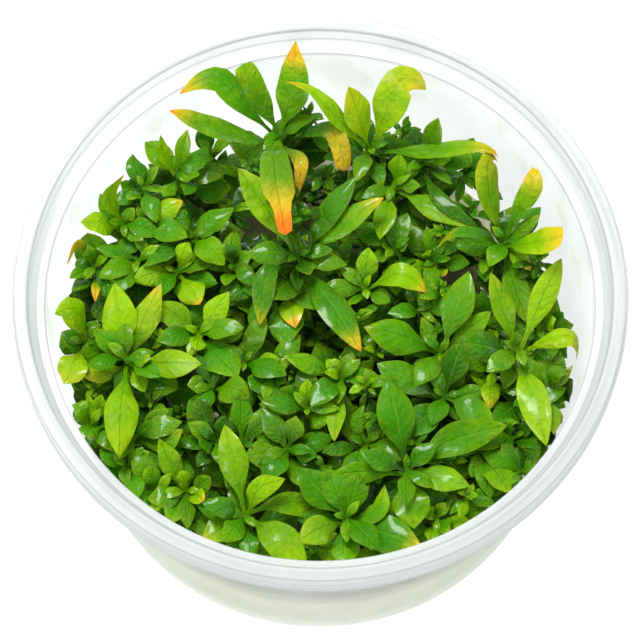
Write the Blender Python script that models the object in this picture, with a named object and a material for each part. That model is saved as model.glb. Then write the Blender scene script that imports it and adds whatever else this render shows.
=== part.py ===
"""A cup of tissue-culture aquarium plants, seen without its lid.

A round frosted cup holds a layer of agar gel. About fifty plantlets stand crowded on the gel. Each
plantlet is a stem with a rosette of pointed leaves, grown as one piece.

The script works in millimetres and scales to metres when it makes the meshes. The origin is the
middle of the base, +Z is up, and -Y is the side that faces the viewer.
"""

import math

import bmesh
import bpy
from mathutils import Vector
from mathutils.bvhtree import BVHTree

MM = 0.001

# Cup
RIM_RADIUS = 50.0
RIM_TOP = 56.0
SKIRT_HEIGHT = 4.6
LIP_RADIUS = 47.35
LEDGE_RADIUS = 44.9
LEDGE_DEPTH = 4.4
LEDGE_STEP = 1.3
LEDGE_UNDER = 0.4
RIM_UNDER = 1.2
RIM_BEVEL = 0.7
LIP_BEVEL = 0.5
BASE_RADIUS = 41.9
BASE_CORNER = 1.5
WALL = 0.8
FLOOR = 1.1
CUP_SIDES = 32

# Gel
GEL_TOP = 21.5
GEL_GAP = 0.35
GEL_SIDES = 24
GEL_DIP = 0.7
GEL_LEVEL_SHARE = 0.8

# Plantlets
STEM_RADIUS = 0.85
STEM_SIDES = 4
STEM_TWIST = 0.7
STEM_TAPER = 0.2
WHORL_HEIGHT = 0.8
LOW_PAIR_DROP = 7.0
LOW_LEAF_LENGTH = 9.0
LOW_LEAF_WIDTH = 5.4
LOW_LEAF_RISE = 2.6
BUD_HEIGHT = 0.9
FOOT_GAP = 0.25
STEM_LEAN = 0.97
LEAF_THICKNESS = 0.5
LEAF_FOLD = 0.2
LEAF_ARCH = 0.09
BLADE_SKEW = 1.12
BLADE_FULLNESS = 0.85
BLADE_NARROWEST = 0.16
SMALL_LEAF = 4.5
WALL_GAP = 0.4
CLEARANCE = 0.22
OWN_CLEARANCE = 0.06
ROOT_SHARE = 0.08
SEAT_CROWDING = 0.35
STEP_ALONG = 0.02

# Shares of a leaf's length at which it has a cross-section
PAIR_SHARES = (0.52,)
SMALL_SHARES = (0.34, 0.68)
LARGE_SHARES = (0.24, 0.5, 0.78)
BENT_SHARES = (0.2, 0.4, 0.6, 0.82)

# The stem's ring below its low pair of leaves, and the one below its crown
PAIR_LEVEL = 1
CROWN_LEVEL = 3

# What is tried in turn when a leaf would cross another: tip lifted, middle arched, middle swayed
# aside, leaf cut shorter, leaf narrower
TILTS = sorted((0.5 * k for k in range(-13, 14)), key=abs)
ARCHES = (0.0, 0.8, -0.8, 1.6, -1.6)
SWAYS = (0.0, 1.2, -1.2, 2.4, -2.4)
REACHES = (1.0, 0.85, 0.7, 0.55, 0.42)
NARROWINGS = (1.0, 0.7)

# Places in the tables below are read looking down into the cup from EYE, on a level sheet at
# READ_LEVEL. A thing at another height lies where the line of sight through that place meets it.
EYE = Vector((0.0, -153.4, 412.3))
READ_LEVEL = 46.0

# Each plantlet: name, (place of its crown, height of its crown), then its leaves. A leaf is its
# width, then one or more points (x, y, height) that its middle line runs through, the last one
# being its tip. The plantlets that lie on top of the others come first.
PLANTLETS = (
    ("plantlet_middle_crown", (-3.6, 9.8, 46.5), (
        (4.6, (-13.9, 26.0, 52.5)),
        (3.7, (6.2, 24.6, 51.5)),
        (4.0, (10.8, 20.4, 50.5)),
        (3.4, (-8.6, 6.8, 47.8), (-9.9, -2.8, 45.6)),
        (4.8, (6.8, -7.6, 46.8)),
        (3.0, (-1.7, 6.1, 48.6)),
        (2.2, (-3.7, 3.1, 47.4)),
        (1.9, (-2.3, 13.6, 49.8)),
    )),
    ("plantlet_back_middle", (-6.8, 32.2, 46.0), (
        (5.4, (-5.0, 39.5, 51.5), (-4.2, 50.6, 57.5)),
        (3.8, (-10.5, 40.0, 52.0), (-13.6, 46.4, 56.0)),
        (4.2, (-12.5, 38.0, 51.0), (-18.0, 43.5, 55.5), (-24.2, 40.0, 54.5)),
        (3.0, (0.8, 33.6, 50.5), (3.6, 30.0, 50.0), (4.0, 24.6, 46.6)),
        (2.3, (-3.4, 27.5, 50.0), (-3.9, 20.3, 46.0)),
        (5.0, (-7.6, 26.0, 52.0), (-5.6, 12.3, 50.6)),
        (4.8, (-13.0, 31.5, 49.5), (-25.9, 36.9, 54.0)),
    )),
    ("plantlet_back_right", (8.4, 29.6, 46.0), (
        (3.2, (2.0, 36.0, 53.0), (-2.2, 41.2, 56.0), (-6.2, 42.4, 54.8)),
        (5.6, (11.5, 36.5, 52.0), (14.5, 43.2, 56.5), (18.3, 40.8, 55.0)),
        (4.6, (6.8, 35.0, 50.0), (4.9, 41.5, 55.0)),
        (3.4, (20.0, 29.4, 51.0), (28.2, 29.8, 55.0), (30.3, 27.8, 53.6)),
        (2.6, (10.6, 22.2, 45.5)),
    )),
    ("plantlet_right_high", (30.9, 12.3, 45.5), (
        (4.2, (36.5, 13.2, 52.0), (41.3, 13.5, 55.0)),
        (2.2, (27.5, 13.5, 48.5), (22.5, 13.8, 49.0), (19.5, 10.9, 46.8)),
        (2.6, (35.2, 6.9, 48.0)),
        (3.8, (34.1, -2.5, 45.4)),
        (3.2, (33.5, 18.0, 51.0), (36.2, 23.5, 55.0), (34.6, 24.9, 54.2)),
        (4.0, (28.9, 20.0, 51.0), (28.7, 28.4, 55.2), (30.2, 27.0, 53.0)),
        (2.0, (37.1, 17.2, 51.0)),
    )),
    ("plantlet_right", (32.5, -7.4, 44.5), (
        (3.3, (38.0, -5.3, 48.0), (42.2, -5.4, 48.5), (41.9, -9.3, 44.8)),
        (4.5, (37.4, -24.6, 46.0)),
        (4.6, (23.0, -5.8, 45.0)),
        (3.6, (28.4, 6.7, 48.5)),
        (3.8, (40.3, 9.2, 51.5)),
        (3.4, (40.6, -10.4, 44.5)),
        (1.8, (32.2, -4.0, 47.2)),
    )),
    ("plantlet_left", (-31.8, -8.8, 45.0), (
        (5.0, (-32.4, -26.1, 46.8)),
        (5.2, (-34.2, 4.8, 48.0)),
        (4.0, (-26.4, 4.6, 48.0)),
        (2.6, (-27.7, -8.7, 46.8)),
        (4.4, (-19.4, -9.7, 46.0)),
        (3.5, (-26.0, -12.1, 46.6)),
        (3.0, (-38.2, -10.3, 47.0)),
        (3.6, (-39.2, -11.7, 45.2)),
        (2.6, (-28.6, -14.7, 44.0)),
    )),
    ("plantlet_front_right", (14.0, -28.0, 44.3), (
        (3.4, (6.7, -25.2, 46.3)),
        (3.2, (1.4, -28.9, 43.6)),
        (5.4, (11.0, -12.0, 47.5)),
        (4.0, (24.1, -30.9, 45.8)),
        (4.8, (30.5, -20.4, 47.0)),
        (5.4, (15.0, -38.0, 43.6)),
    )),
    ("plantlet_front", (4.2, -36.1, 43.2), (
        (4.8, (-3.9, -27.6, 45.5)),
        (4.0, (6.2, -28.5, 46.5)),
        (5.4, (16.5, -41.6, 44.6)),
        (4.4, (4.1, -46.0, 44.0)),
        (4.3, (-3.6, -40.3, 44.5)),
        (3.0, (8.9, -35.2, 43.8), (10.4, -30.6, 44.2)),
        (1.8, (7.9, -30.6, 44.6)),
    )),
    ("plantlet_front_left", (-12.0, -35.8, 43.5), (
        (4.4, (-15.5, -20.3, 46.5)),
        (3.2, (-9.8, -31.4, 47.4), (-5.6, -29.6, 46.4)),
        (3.8, (1.5, -35.6, 44.4)),
        (5.0, (-2.0, -45.0, 44.0)),
        (2.9, (-11.6, -45.5, 43.6)),
        (4.4, (-18.9, -40.3, 43.6)),
        (3.0, (-20.2, -33.3, 41.8)),
        (2.8, (-14.9, -43.6, 41.6)),
    )),
    ("plantlet_right_inner", (19.8, -7.7, 43.6), (
        (4.8, (24.8, 6.9, 48.0)),
        (5.2, (7.2, -3.2, 45.4)),
        (3.4, (28.4, -0.4, 46.0)),
        (3.2, (23.5, -13.0, 42.2)),
        (2.4, (16.8, -1.4, 44.0)),
    )),
    ("plantlet_right_lower", (20.3, -15.5, 43.6), (
        (5.2, (13.7, -22.4, 44.0)),
        (4.4, (28.3, -20.1, 45.0)),
        (4.8, (9.3, -9.7, 45.0)),
        (4.2, (23.4, -5.9, 45.8)),
        (3.0, (27.4, -14.5, 43.5)),
        (2.2, (12.4, -12.8, 43.3)),
    )),
    ("plantlet_middle_left", (-20.0, -4.3, 43.0), (
        (3.6, (-15.1, 3.2, 45.5)),
        (4.0, (-27.3, 1.2, 45.5)),
        (2.4, (-20.3, -7.4, 45.0)),
        (5.4, (-13.4, -12.0, 44.5)),
        (3.0, (-22.6, -9.8, 42.0)),
    )),
    ("plantlet_middle", (7.4, 3.8, 43.0), (
        (3.4, (8.1, 11.2, 46.6)),
        (3.8, (12.5, 6.2, 46.8), (15.5, 5.3, 47.0), (17.7, 2.9, 46.0)),
        (1.8, (4.6, 0.6, 44.2)),
        (2.6, (11.6, 1.2, 43.8)),
    )),
    ("plantlet_middle_front", (3.5, -12.3, 42.6), (
        (3.0, (-6.0, -8.2, 44.5)),
        (2.4, (1.0, -9.0, 44.2)),
        (2.8, (2.3, -23.3, 43.8)),
        (3.3, (5.6, -24.0, 42.8)),
        (2.8, (5.3, -7.5, 44.3)),
    )),
    ("plantlet_left_inner", (-14.6, 8.1, 44.2), (
        (2.3, (-15.8, 4.2, 45.6)),
        (2.3, (-11.0, 10.2, 46.0)),
        (2.2, (-8.2, 9.2, 45.6)),
        (2.2, (-17.2, 10.3, 46.0)),
        (2.2, (-15.6, 11.8, 46.4)),
    )),
    ("plantlet_left_back", (-21.6, 13.4, 44.2), (
        (3.4, (-29.5, 7.6, 45.5)),
        (4.0, (-15.9, 7.9, 45.0)),
        (2.0, (-17.6, 14.1, 46.0)),
        (2.8, (-24.4, 18.4, 46.5)),
    )),
    ("plantlet_back_inner", (12.4, 22.6, 45.0), (
        (3.6, (10.0, 12.6, 47.0)),
        (3.0, (13.6, 28.6, 50.0)),
        (2.2, (17.0, 22.6, 47.0)),
        (3.6, (24.8, 15.0, 47.4)),
    )),
    ("plantlet_back_tall", (17.6, 27.0, 46.5), (
        (3.2, (20.3, 35.5, 54.5)),
        (1.6, (22.3, 22.9, 49.5)),
        (2.2, (26.6, 14.9, 47.6)),
        (3.0, (23.5, 31.2, 52.5)),
    )),
    ("plantlet_left_rear", (-29.8, 22.2, 45.5), (
        (3.0, (-29.6, 26.3, 50.5)),
        (2.4, (-33.9, 23.2, 49.0)),
        (2.0, (-27.3, 26.4, 50.0)),
        (2.2, (-32.6, 20.0, 48.0)),
    )),
    ("plantlet_back_left", (-24.3, 25.0, 46.5), (
        (2.0, (-26.6, 28.6, 51.0), (-27.2, 32.2, 54.0)),
        (2.4, (-22.6, 33.3, 53.5)),
        (2.4, (-20.4, 24.5, 49.0)),
        (2.6, (-22.9, 20.8, 48.0)),
        (2.4, (-26.5, 20.5, 47.6)),
    )),
    ("plantlet_left_high", (-33.2, 15.6, 44.5), (
        (4.6, (-40.2, 15.8, 48.5)),
        (2.6, (-35.6, 20.5, 49.0), (-33.2, 24.7, 51.0)),
        (2.0, (-31.2, 18.5, 46.5)),
        (2.6, (-29.6, 12.4, 45.6)),
    )),
    ("plantlet_left_shoot", (-29.4, 15.2, 44.0), (
        (3.4, (-23.1, 19.8, 47.2)),
        (3.2, (-24.0, 15.6, 45.6)),
        (2.8, (-27.0, 12.0, 44.4)),
    )),
    ("plantlet_left_middle", (-30.3, 8.7, 43.4), (
        (2.7, (-37.6, 11.2, 46.0)),
        (2.2, (-33.9, 6.9, 44.4)),
        (2.0, (-31.6, 12.9, 45.2)),
        (2.2, (-28.6, 5.6, 43.6)),
    )),
    ("plantlet_far_left", (-38.6, -5.8, 43.5), (
        (3.4, (-42.0, 2.3, 46.8)),
        (4.2, (-43.9, -0.9, 47.5)),
        (4.6, (-43.2, -13.8, 46.8)),
        (3.0, (-36.8, -2.0, 44.2)),
    )),
    ("plantlet_far_left_back", (-37.6, 7.6, 43.2), (
        (2.3, (-41.7, 5.5, 46.4)),
        (2.0, (-41.2, 3.0, 45.8)),
        (1.4, (-37.2, 1.2, 45.4)),
        (1.4, (-40.4, 12.0, 47.4), (-42.2, 7.9, 47.0)),
        (2.4, (-38.8, 11.5, 45.8)),
    )),
    ("plantlet_left_centre", (-23.8, 6.9, 42.8), (
        (3.6, (-31.2, 4.9, 44.4)),
        (2.8, (-21.8, 12.1, 45.0)),
        (2.6, (-27.8, 3.6, 43.4)),
        (4.4, (-19.9, 0.8, 44.6)),
        (2.8, (-17.0, 4.6, 43.6)),
    )),
    ("plantlet_centre_left", (-5.6, 3.9, 42.8), (
        (3.7, (-4.0, -3.4, 44.8)),
        (5.2, (-5.7, -6.7, 43.4)),
        (2.3, (-1.6, -2.2, 43.8)),
    )),
    ("plantlet_inner_left", (-9.8, 4.6, 41.4), (
        (5.0, (-15.7, 0.4, 43.0)),
        (2.8, (-10.8, -4.9, 42.6)),
        (3.0, (-4.9, 10.6, 43.0)),
    )),
    ("plantlet_centre_right", (12.3, 11.0, 43.8), (
        (1.8, (14.7, 11.8, 46.0)),
        (1.6, (10.2, 11.7, 45.8)),
        (2.2, (9.0, 8.7, 44.6)),
        (3.2, (15.4, 8.4, 44.6)),
    )),
    ("plantlet_inner_right", (19.3, 8.6, 43.0), (
        (2.0, (17.9, 15.1, 46.4)),
        (2.9, (25.0, 8.2, 45.4)),
        (3.0, (15.2, 7.2, 44.6)),
        (2.0, (18.9, 10.8, 44.8)),
        (2.0, (21.0, 6.1, 44.0)),
    )),
    ("plantlet_right_centre", (16.8, -0.3, 42.8), (
        (3.0, (18.6, 6.6, 45.8)),
        (2.8, (20.4, -3.4, 44.0)),
        (2.0, (14.8, 1.9, 44.0)),
        (2.2, (20.0, 1.5, 43.2)),
    )),
    ("plantlet_right_shoot", (27.8, -2.6, 42.4), (
        (2.2, (26.8, 3.4, 45.0)),
        (1.8, (28.9, -5.9, 43.4)),
        (2.6, (31.6, 1.6, 43.8)),
    )),
    ("plantlet_far_right", (36.2, -3.2, 43.6), (
        (2.8, (39.0, -1.8, 46.0)),
        (2.2, (40.3, -0.6, 46.6)),
        (1.6, (39.2, 2.2, 47.4)),
    )),
    ("plantlet_far_right_front", (37.4, -14.6, 42.8), (
        (2.6, (40.8, -11.7, 45.4)),
        (1.4, (41.5, -9.9, 46.0)),
        (2.8, (40.0, -17.4, 44.5)),
        (3.0, (38.7, -22.6, 44.5)),
    )),
    ("plantlet_right_olive", (28.4, -11.2, 42.0), (
        (3.0, (27.6, -17.8, 43.8)),
        (4.4, (34.6, -14.0, 43.6)),
        (2.8, (24.6, -11.9, 42.8)),
    )),
    ("plantlet_right_dark", (33.4, -16.0, 41.4), (
        (4.4, (28.1, -19.9, 43.4)),
        (2.4, (33.6, -20.4, 42.8)),
        (2.2, (37.0, -18.0, 42.6)),
    )),
    ("plantlet_lower_right", (31.2, -22.6, 42.0), (
        (2.6, (34.6, -20.2, 44.0)),
        (1.8, (32.4, -20.0, 44.3)),
        (2.4, (36.2, -22.2, 43.2)),
        (2.4, (35.6, -24.6, 42.4)),
    )),
    ("plantlet_right_front_edge", (32.6, -28.4, 41.8), (
        (2.5, (29.3, -23.6, 44.0)),
        (2.3, (34.9, -26.4, 43.8)),
        (2.2, (30.6, -30.6, 42.6)),
    )),
    ("plantlet_front_right_low", (26.2, -25.2, 41.2), (
        (4.6, (31.0, -32.6, 43.0)),
        (1.8, (24.3, -29.4, 43.0)),
        (2.6, (29.6, -24.4, 42.0)),
    )),
    ("plantlet_front_right_edge", (18.6, -36.2, 40.4), (
        (2.0, (17.0, -34.4, 43.0)),
        (1.8, (20.0, -33.6, 42.8)),
        (2.2, (24.4, -37.3, 42.2)),
        (2.4, (17.4, -40.2, 42.0)),
        (3.2, (28.6, -34.2, 41.8)),
        (2.8, (20.5, -41.0, 41.6)),
    )),
    ("plantlet_front_low", (10.4, -41.6, 39.6), (
        (3.4, (5.6, -43.8, 41.4)),
        (3.0, (13.8, -44.4, 41.2)),
        (2.6, (6.9, -39.6, 41.0)),
    )),
    ("plantlet_front_low_left", (-0.8, -41.4, 39.6), (
        (2.8, (-4.8, -39.2, 41.2)),
        (2.6, (2.8, -38.8, 41.0)),
        (3.0, (1.6, -45.4, 41.2)),
    )),
    ("plantlet_front_inner", (7.4, -23.6, 41.2), (
        (2.3, (0.2, -25.1, 43.4)),
        (3.0, (9.8, -20.2, 42.8)),
        (2.4, (7.2, -16.8, 43.0)),
        (2.6, (9.6, -30.6, 42.4)),
    )),
    ("plantlet_front_centre", (-5.2, -24.6, 41.8), (
        (4.4, (-12.1, -25.8, 43.6)),
        (3.6, (-10.4, -21.2, 43.2)),
        (3.5, (-3.9, -18.8, 44.0)),
        (2.8, (-0.4, -25.8, 43.2)),
        (2.6, (-3.2, -30.8, 43.0)),
    )),
    ("plantlet_centre_front", (-2.1, -17.6, 42.6), (
        (2.2, (-2.1, -12.3, 45.3)),
        (3.2, (-6.4, -13.9, 44.2)),
        (3.0, (1.0, -20.3, 43.2)),
        (2.2, (-4.2, -20.6, 43.4)),
        (2.4, (0.9, -14.8, 43.0)),
    )),
    ("plantlet_inner_front", (-8.0, -11.8, 41.6), (
        (4.0, (-11.4, -14.2, 43.4)),
        (3.8, (-8.8, -17.4, 42.8)),
        (1.8, (-5.6, -13.0, 43.2)),
        (2.4, (-5.4, -9.6, 42.8)),
    )),
    ("plantlet_inner_front_left", (-12.4, -9.4, 41.8), (
        (2.5, (-6.5, -8.9, 44.2)),
        (2.2, (-14.3, -7.2, 43.8)),
        (2.6, (-11.6, -5.4, 43.0)),
    )),
    ("plantlet_front_left_inner", (-12.4, -23.4, 42.0), (
        (3.3, (-12.8, -14.4, 44.2)),
        (1.6, (-10.6, -22.3, 43.2)),
        (2.2, (-10.2, -28.4, 42.0)),
    )),
    ("plantlet_left_front_inner", (-17.6, -13.6, 42.2), (
        (4.4, (-11.4, -15.8, 44.0)),
        (3.0, (-21.7, -13.5, 44.0)),
        (2.6, (-18.2, -9.6, 42.8)),
    )),
    ("plantlet_front_left_shoot", (-16.8, -23.2, 42.2), (
        (3.3, (-20.3, -15.6, 44.6)),
        (3.0, (-19.6, -23.9, 44.6)),
        (2.4, (-19.8, -27.6, 42.6)),
        (2.4, (-15.4, -18.8, 43.6)),
    )),
    ("plantlet_front_left_low", (-21.6, -31.4, 41.2), (
        (3.3, (-26.1, -22.7, 44.4)),
        (2.2, (-22.5, -28.2, 44.0)),
        (2.6, (-18.5, -33.2, 43.6)),
        (3.6, (-24.7, -37.8, 42.8)),
        (2.8, (-17.6, -29.2, 42.6)),
    )),
    ("plantlet_left_front_edge", (-26.0, -31.8, 40.8), (
        (3.0, (-27.8, -27.4, 43.6)),
        (1.9, (-26.8, -35.6, 43.0)),
        (3.0, (-30.6, -34.2, 42.5)),
    )),
    ("plantlet_left_front_low", (-31.0, -27.2, 41.6), (
        (3.0, (-29.2, -33.0, 43.4)),
        (3.4, (-35.4, -28.0, 43.4)),
        (2.4, (-33.0, -31.2, 42.2)),
        (2.4, (-27.6, -25.0, 42.6)),
    )),
    ("plantlet_left_front", (-30.0, -22.4, 42.0), (
        (3.6, (-22.2, -21.2, 44.6)),
        (1.4, (-27.3, -19.6, 43.8)),
        (3.0, (-24.6, -17.6, 43.2)),
    )),
    ("plantlet_far_left_front", (-37.2, -20.4, 42.4), (
        (2.6, (-38.8, -23.6, 44.0)),
        (2.6, (-34.6, -24.6, 43.2)),
        (2.2, (-37.6, -15.2, 44.5)),
        (2.6, (-40.8, -17.0, 44.5)),
        (2.6, (-35.6, -15.0, 43.5)),
    )),
)

# Colours
FROSTED_PLASTIC = (0.88, 0.90, 0.90)
AGAR = (0.62, 0.60, 0.40)
LEAF_GREEN = (0.15, 0.42, 0.03)


def material(name, colour, roughness, alpha=1.0):
    """Make a Principled material of one colour."""
    finish = bpy.data.materials.new(name)
    finish.use_nodes = True
    shader = finish.node_tree.nodes["Principled BSDF"]
    shader.inputs["Base Color"].default_value = (*colour, 1.0)
    shader.inputs["Roughness"].default_value = roughness
    shader.inputs["Metallic"].default_value = 0.0
    shader.inputs["Alpha"].default_value = alpha
    return finish


def add_object(name, mesh_data, finish):
    """Scale a bmesh in millimetres to metres and add it as an object."""
    for vertex in mesh_data.verts:
        vertex.co *= MM
    mesh = bpy.data.meshes.new(name)
    mesh_data.to_mesh(mesh)
    mesh_data.free()
    mesh.materials.append(finish)
    piece = bpy.data.objects.new(name, mesh)
    bpy.context.collection.objects.link(piece)
    return piece


def turned(profile, sides):
    """Turn a closed outline of (radius, height) points round the Z axis.

    A point on the axis becomes one vertex, and every other point becomes a ring.
    """
    shape = bmesh.new()
    rings = []
    for radius, height in profile:
        if radius == 0.0:
            rings.append([shape.verts.new((0.0, 0.0, height))])
            continue
        turn = 2.0 * math.pi / sides
        ring = [
            shape.verts.new((radius * math.cos(k * turn), radius * math.sin(k * turn), height))
            for k in range(sides)
        ]
        rings.append(ring)
    for first, second in zip(rings, rings[1:] + rings[:1]):
        if len(first) == 1 and len(second) == 1:
            continue
        for k in range(sides):
            corners = [first[k % len(first)], first[(k + 1) % len(first)]]
            corners += [second[(k + 1) % len(second)], second[k % len(second)]]
            shape.faces.new(list(dict.fromkeys(corners)))
    bmesh.ops.recalc_face_normals(shape, faces=shape.faces)
    return shape


def inner_radius(height):
    """Radius of the cup's inside at a height."""
    ledge = RIM_TOP - LEDGE_DEPTH
    if height <= ledge:
        lowest = BASE_RADIUS - WALL
        return lowest + (LEDGE_RADIUS - lowest) * (height - FLOOR) / (ledge - FLOOR)
    lowest = LEDGE_RADIUS + LEDGE_STEP
    return lowest + (LIP_RADIUS - lowest) * min(1.0, (height - ledge) / LEDGE_DEPTH)


def make_cup():
    """The cup's wall in section, from the middle of the base up the outside and down the inside."""
    ledge = RIM_TOP - LEDGE_DEPTH
    skirt_foot = RIM_TOP - SKIRT_HEIGHT
    profile = (
        (0.0, 0.0),
        (BASE_RADIUS - BASE_CORNER, 0.0),
        (BASE_RADIUS, BASE_CORNER),
        (LEDGE_RADIUS + WALL, ledge - WALL),
        (LEDGE_RADIUS + LEDGE_STEP + WALL, ledge - LEDGE_UNDER),
        (LIP_RADIUS + WALL, RIM_TOP - RIM_UNDER),
        (RIM_RADIUS - WALL, RIM_TOP - RIM_UNDER),
        (RIM_RADIUS - WALL, skirt_foot),
        (RIM_RADIUS, skirt_foot),
        (RIM_RADIUS, RIM_TOP - RIM_BEVEL),
        (RIM_RADIUS - RIM_BEVEL, RIM_TOP),
        (LIP_RADIUS + LIP_BEVEL, RIM_TOP),
        (LIP_RADIUS, RIM_TOP - LIP_BEVEL),
        (LEDGE_RADIUS + LEDGE_STEP, ledge),
        (LEDGE_RADIUS, ledge),
        (BASE_RADIUS - WALL, FLOOR),
        (0.0, FLOOR),
    )
    finish = material("frosted_plastic", FROSTED_PLASTIC, 0.35, 0.5)
    return add_object("cup", turned(profile, CUP_SIDES), finish)


def make_gel():
    """The gel: a disc that fits the cup, with a surface that sinks a little towards the middle."""
    foot = FLOOR + GEL_GAP
    profile = (
        (0.0, foot),
        (inner_radius(foot) - 2.0 * GEL_GAP, foot),
        (inner_radius(GEL_TOP) - GEL_GAP, GEL_TOP),
        (inner_radius(GEL_TOP) * GEL_LEVEL_SHARE, GEL_TOP - GEL_DIP),
        (0.0, GEL_TOP - GEL_DIP),
    )
    finish = material("agar_gel", AGAR, 0.2, 0.8)
    return add_object("gel", turned(profile, GEL_SIDES), finish)


def gel_height(radius):
    """Height of the gel's surface at a distance from the cup's axis."""
    edge = inner_radius(GEL_TOP)
    rise = (radius / edge - GEL_LEVEL_SHARE) / (1.0 - GEL_LEVEL_SHARE)
    return GEL_TOP - GEL_DIP * (1.0 - min(1.0, max(0.0, rise)))


def sight(x, y, height):
    """The point at a height that is seen at the place (x, y) of the reading level."""
    ratio = (EYE.z - height) / (EYE.z - READ_LEVEL)
    return Vector((x * ratio, EYE.y + (y - EYE.y) * ratio, height))


def keep_inside(point, reach):
    """Pull a point in so that it stays off the cup's wall by its own reach."""
    limit = inner_radius(point.z) - WALL_GAP - reach
    radius = math.hypot(point.x, point.y)
    if radius <= limit:
        return point
    return Vector((point.x * limit / radius, point.y * limit / radius, point.z))


def smooth_path(points, share):
    """A point on the smooth curve through the given points, at a share of its length by number."""
    spans = len(points) - 1
    place = min(share * spans, spans - 1e-6)
    k = int(place)
    t = place - k
    before = points[k - 1] if k > 0 else 2.0 * points[k] - points[k + 1]
    after = points[k + 2] if k + 2 <= spans else 2.0 * points[k + 1] - points[k]
    a, b = points[k], points[k + 1]
    return 0.5 * (
        2.0 * a
        + (b - before) * t
        + (2.0 * before - 5.0 * a + 4.0 * b - after) * t * t
        + (3.0 * a - before - 3.0 * b + after) * t * t * t
    )


def blade(share):
    """How much of its full width a leaf has at a share of its length."""
    return max(BLADE_NARROWEST, math.sin(math.pi * share ** BLADE_SKEW) ** BLADE_FULLNESS)


class Leaf:
    """One leaf: its width, and the points that its middle line runs through from root to tip."""

    def __init__(self, root, width, points, shares):
        self.root = root
        self.width = width
        self.points = [keep_inside(point, CLEARANCE) for point in points]
        self.shares = shares

    def path(self, lift, arch, sway, reach):
        """The middle line's points, with the tip lifted, the middle arched or swayed, or cut short."""
        tip = self.points[-1]
        run = [point.copy() for point in self.points]
        for k, point in enumerate(run):
            run[k] = sight_again(point, lift * (k + 1) / len(run))
        if len(run) == 1:
            middle = (self.root + run[0]) * 0.5
            middle.z += arch + LEAF_ARCH * (tip - self.root).length
            run.insert(0, middle)
        else:
            run[0] = run[0] + Vector((0.0, 0.0, arch))
        across = Vector((-(tip - self.root).y, (tip - self.root).x, 0.0))
        if across.length > 0.0:
            run[0] = run[0] + across.normalized() * sway
        line = [self.root] + run
        if reach < 1.0:
            line = [smooth_path(line, reach * k / len(run)) for k in range(len(line))]
        return [line[0]] + [keep_inside(point, CLEARANCE) for point in line[1:]]

    def rings(self, line, grow):
        """The leaf's cross-sections (right, under, left, over) and its tip along its middle line."""
        bent = len(self.points) > 1
        heading = (smooth_path(line, self.shares[0]) if bent else line[-1]) - line[0]
        side = Vector((-heading.y, heading.x, 0.0)).normalized()
        before = None
        sections = []
        for share in self.shares:
            centre = smooth_path(line, share)
            along = smooth_path(line, share + STEP_ALONG) - smooth_path(line, share - STEP_ALONG)
            along.normalize()
            if before is not None and bent:
                side = before.rotation_difference(along) @ side
            before = along
            side = (side - along * side.dot(along)).normalized()
            normal = along.cross(side)
            half = 0.5 * self.width * blade(share) + grow
            deep = 0.5 * LEAF_THICKNESS + grow
            away = outward(centre)
            reach = self.width * blade(share) * abs(side.dot(away))
            reach += LEAF_THICKNESS * abs(normal.dot(away))
            centre = keep_inside(centre, 0.5 * reach + CLEARANCE)
            fold = normal * (LEAF_FOLD * half)
            sections.append((
                centre - side * half + fold,
                centre - normal * deep,
                centre + side * half + fold,
                centre + normal * deep,
            ))
        end = (line[-1] - smooth_path(line, 1.0 - STEP_ALONG)).normalized()
        return sections, line[-1] + end * grow


def outward(point):
    """The level direction from the cup's axis to a point."""
    flat = Vector((point.x, point.y, 0.0))
    return flat.normalized() if flat.length > 0.0 else Vector((1.0, 0.0, 0.0))


def sight_again(point, lift):
    """Lift a point along the line of sight, so that it is still seen at the same place."""
    ratio = (EYE.z - point.z - lift) / (EYE.z - point.z)
    return EYE + (point - EYE) * ratio


def leaf_skin(root_ring, sections, tip):
    """The corners and faces of a leaf from the ring at its root to its tip."""
    corners = []
    faces = []
    rings = [root_ring] + sections
    for ring in rings:
        corners.extend(ring)
    corners.append(tip)
    for k in range(len(rings) - 1):
        for j in range(4):
            a, b = 4 * k + j, 4 * k + (j + 1) % 4
            faces.append((a, b, b + 4))
            faces.append((a, b + 4, a + 4))
    last = 4 * (len(rings) - 1)
    for j in range(4):
        faces.append((last + j, last + (j + 1) % 4, len(corners) - 1))
    faces.append((0, 1, 2, 3))
    return corners, faces


class Placed:
    """A piece that already has its place, with its box for a quick first look."""

    def __init__(self, owner, corners, faces):
        self.owner = owner
        self.tree = BVHTree.FromPolygons(corners, faces)
        self.low = Vector(tuple(min(corner[k] for corner in corners) for k in range(3)))
        self.high = Vector(tuple(max(corner[k] for corner in corners) for k in range(3)))

    def meets(self, other):
        """Whether this piece's surface crosses another's."""
        apart = any(self.low[k] > other.high[k] or self.high[k] < other.low[k] for k in range(3))
        return not apart and bool(self.tree.overlap(other.tree))


def off_root(root_ring, sections):
    """A ring a little way out from the root, so that a leaf's own stem doesn't count as in its way."""
    return [seat.lerp(corner, ROOT_SHARE) for seat, corner in zip(root_ring, sections[0])]


def find_room(leaf, owner, root_ring, placed, own):
    """The first middle line, tried from the nearest to the farthest, that crosses no other piece."""
    for reach in REACHES:
        for sway in SWAYS:
            for lift in TILTS:
                for arch in ARCHES:
                    line = leaf.path(lift, arch, sway, reach)
                    sections, tip = leaf.rings(line, CLEARANCE)
                    whole = Placed(owner, *leaf_skin(root_ring, sections, tip))
                    if any(whole.meets(other) for other in placed if other.owner != owner):
                        continue
                    sections, tip = leaf.rings(line, OWN_CLEARANCE)
                    seat = off_root(root_ring, sections)
                    alone = Placed(owner, *leaf_skin(seat, sections, tip))
                    if any(alone.meets(other) for other in own):
                        continue
                    return line
    return None


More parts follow.
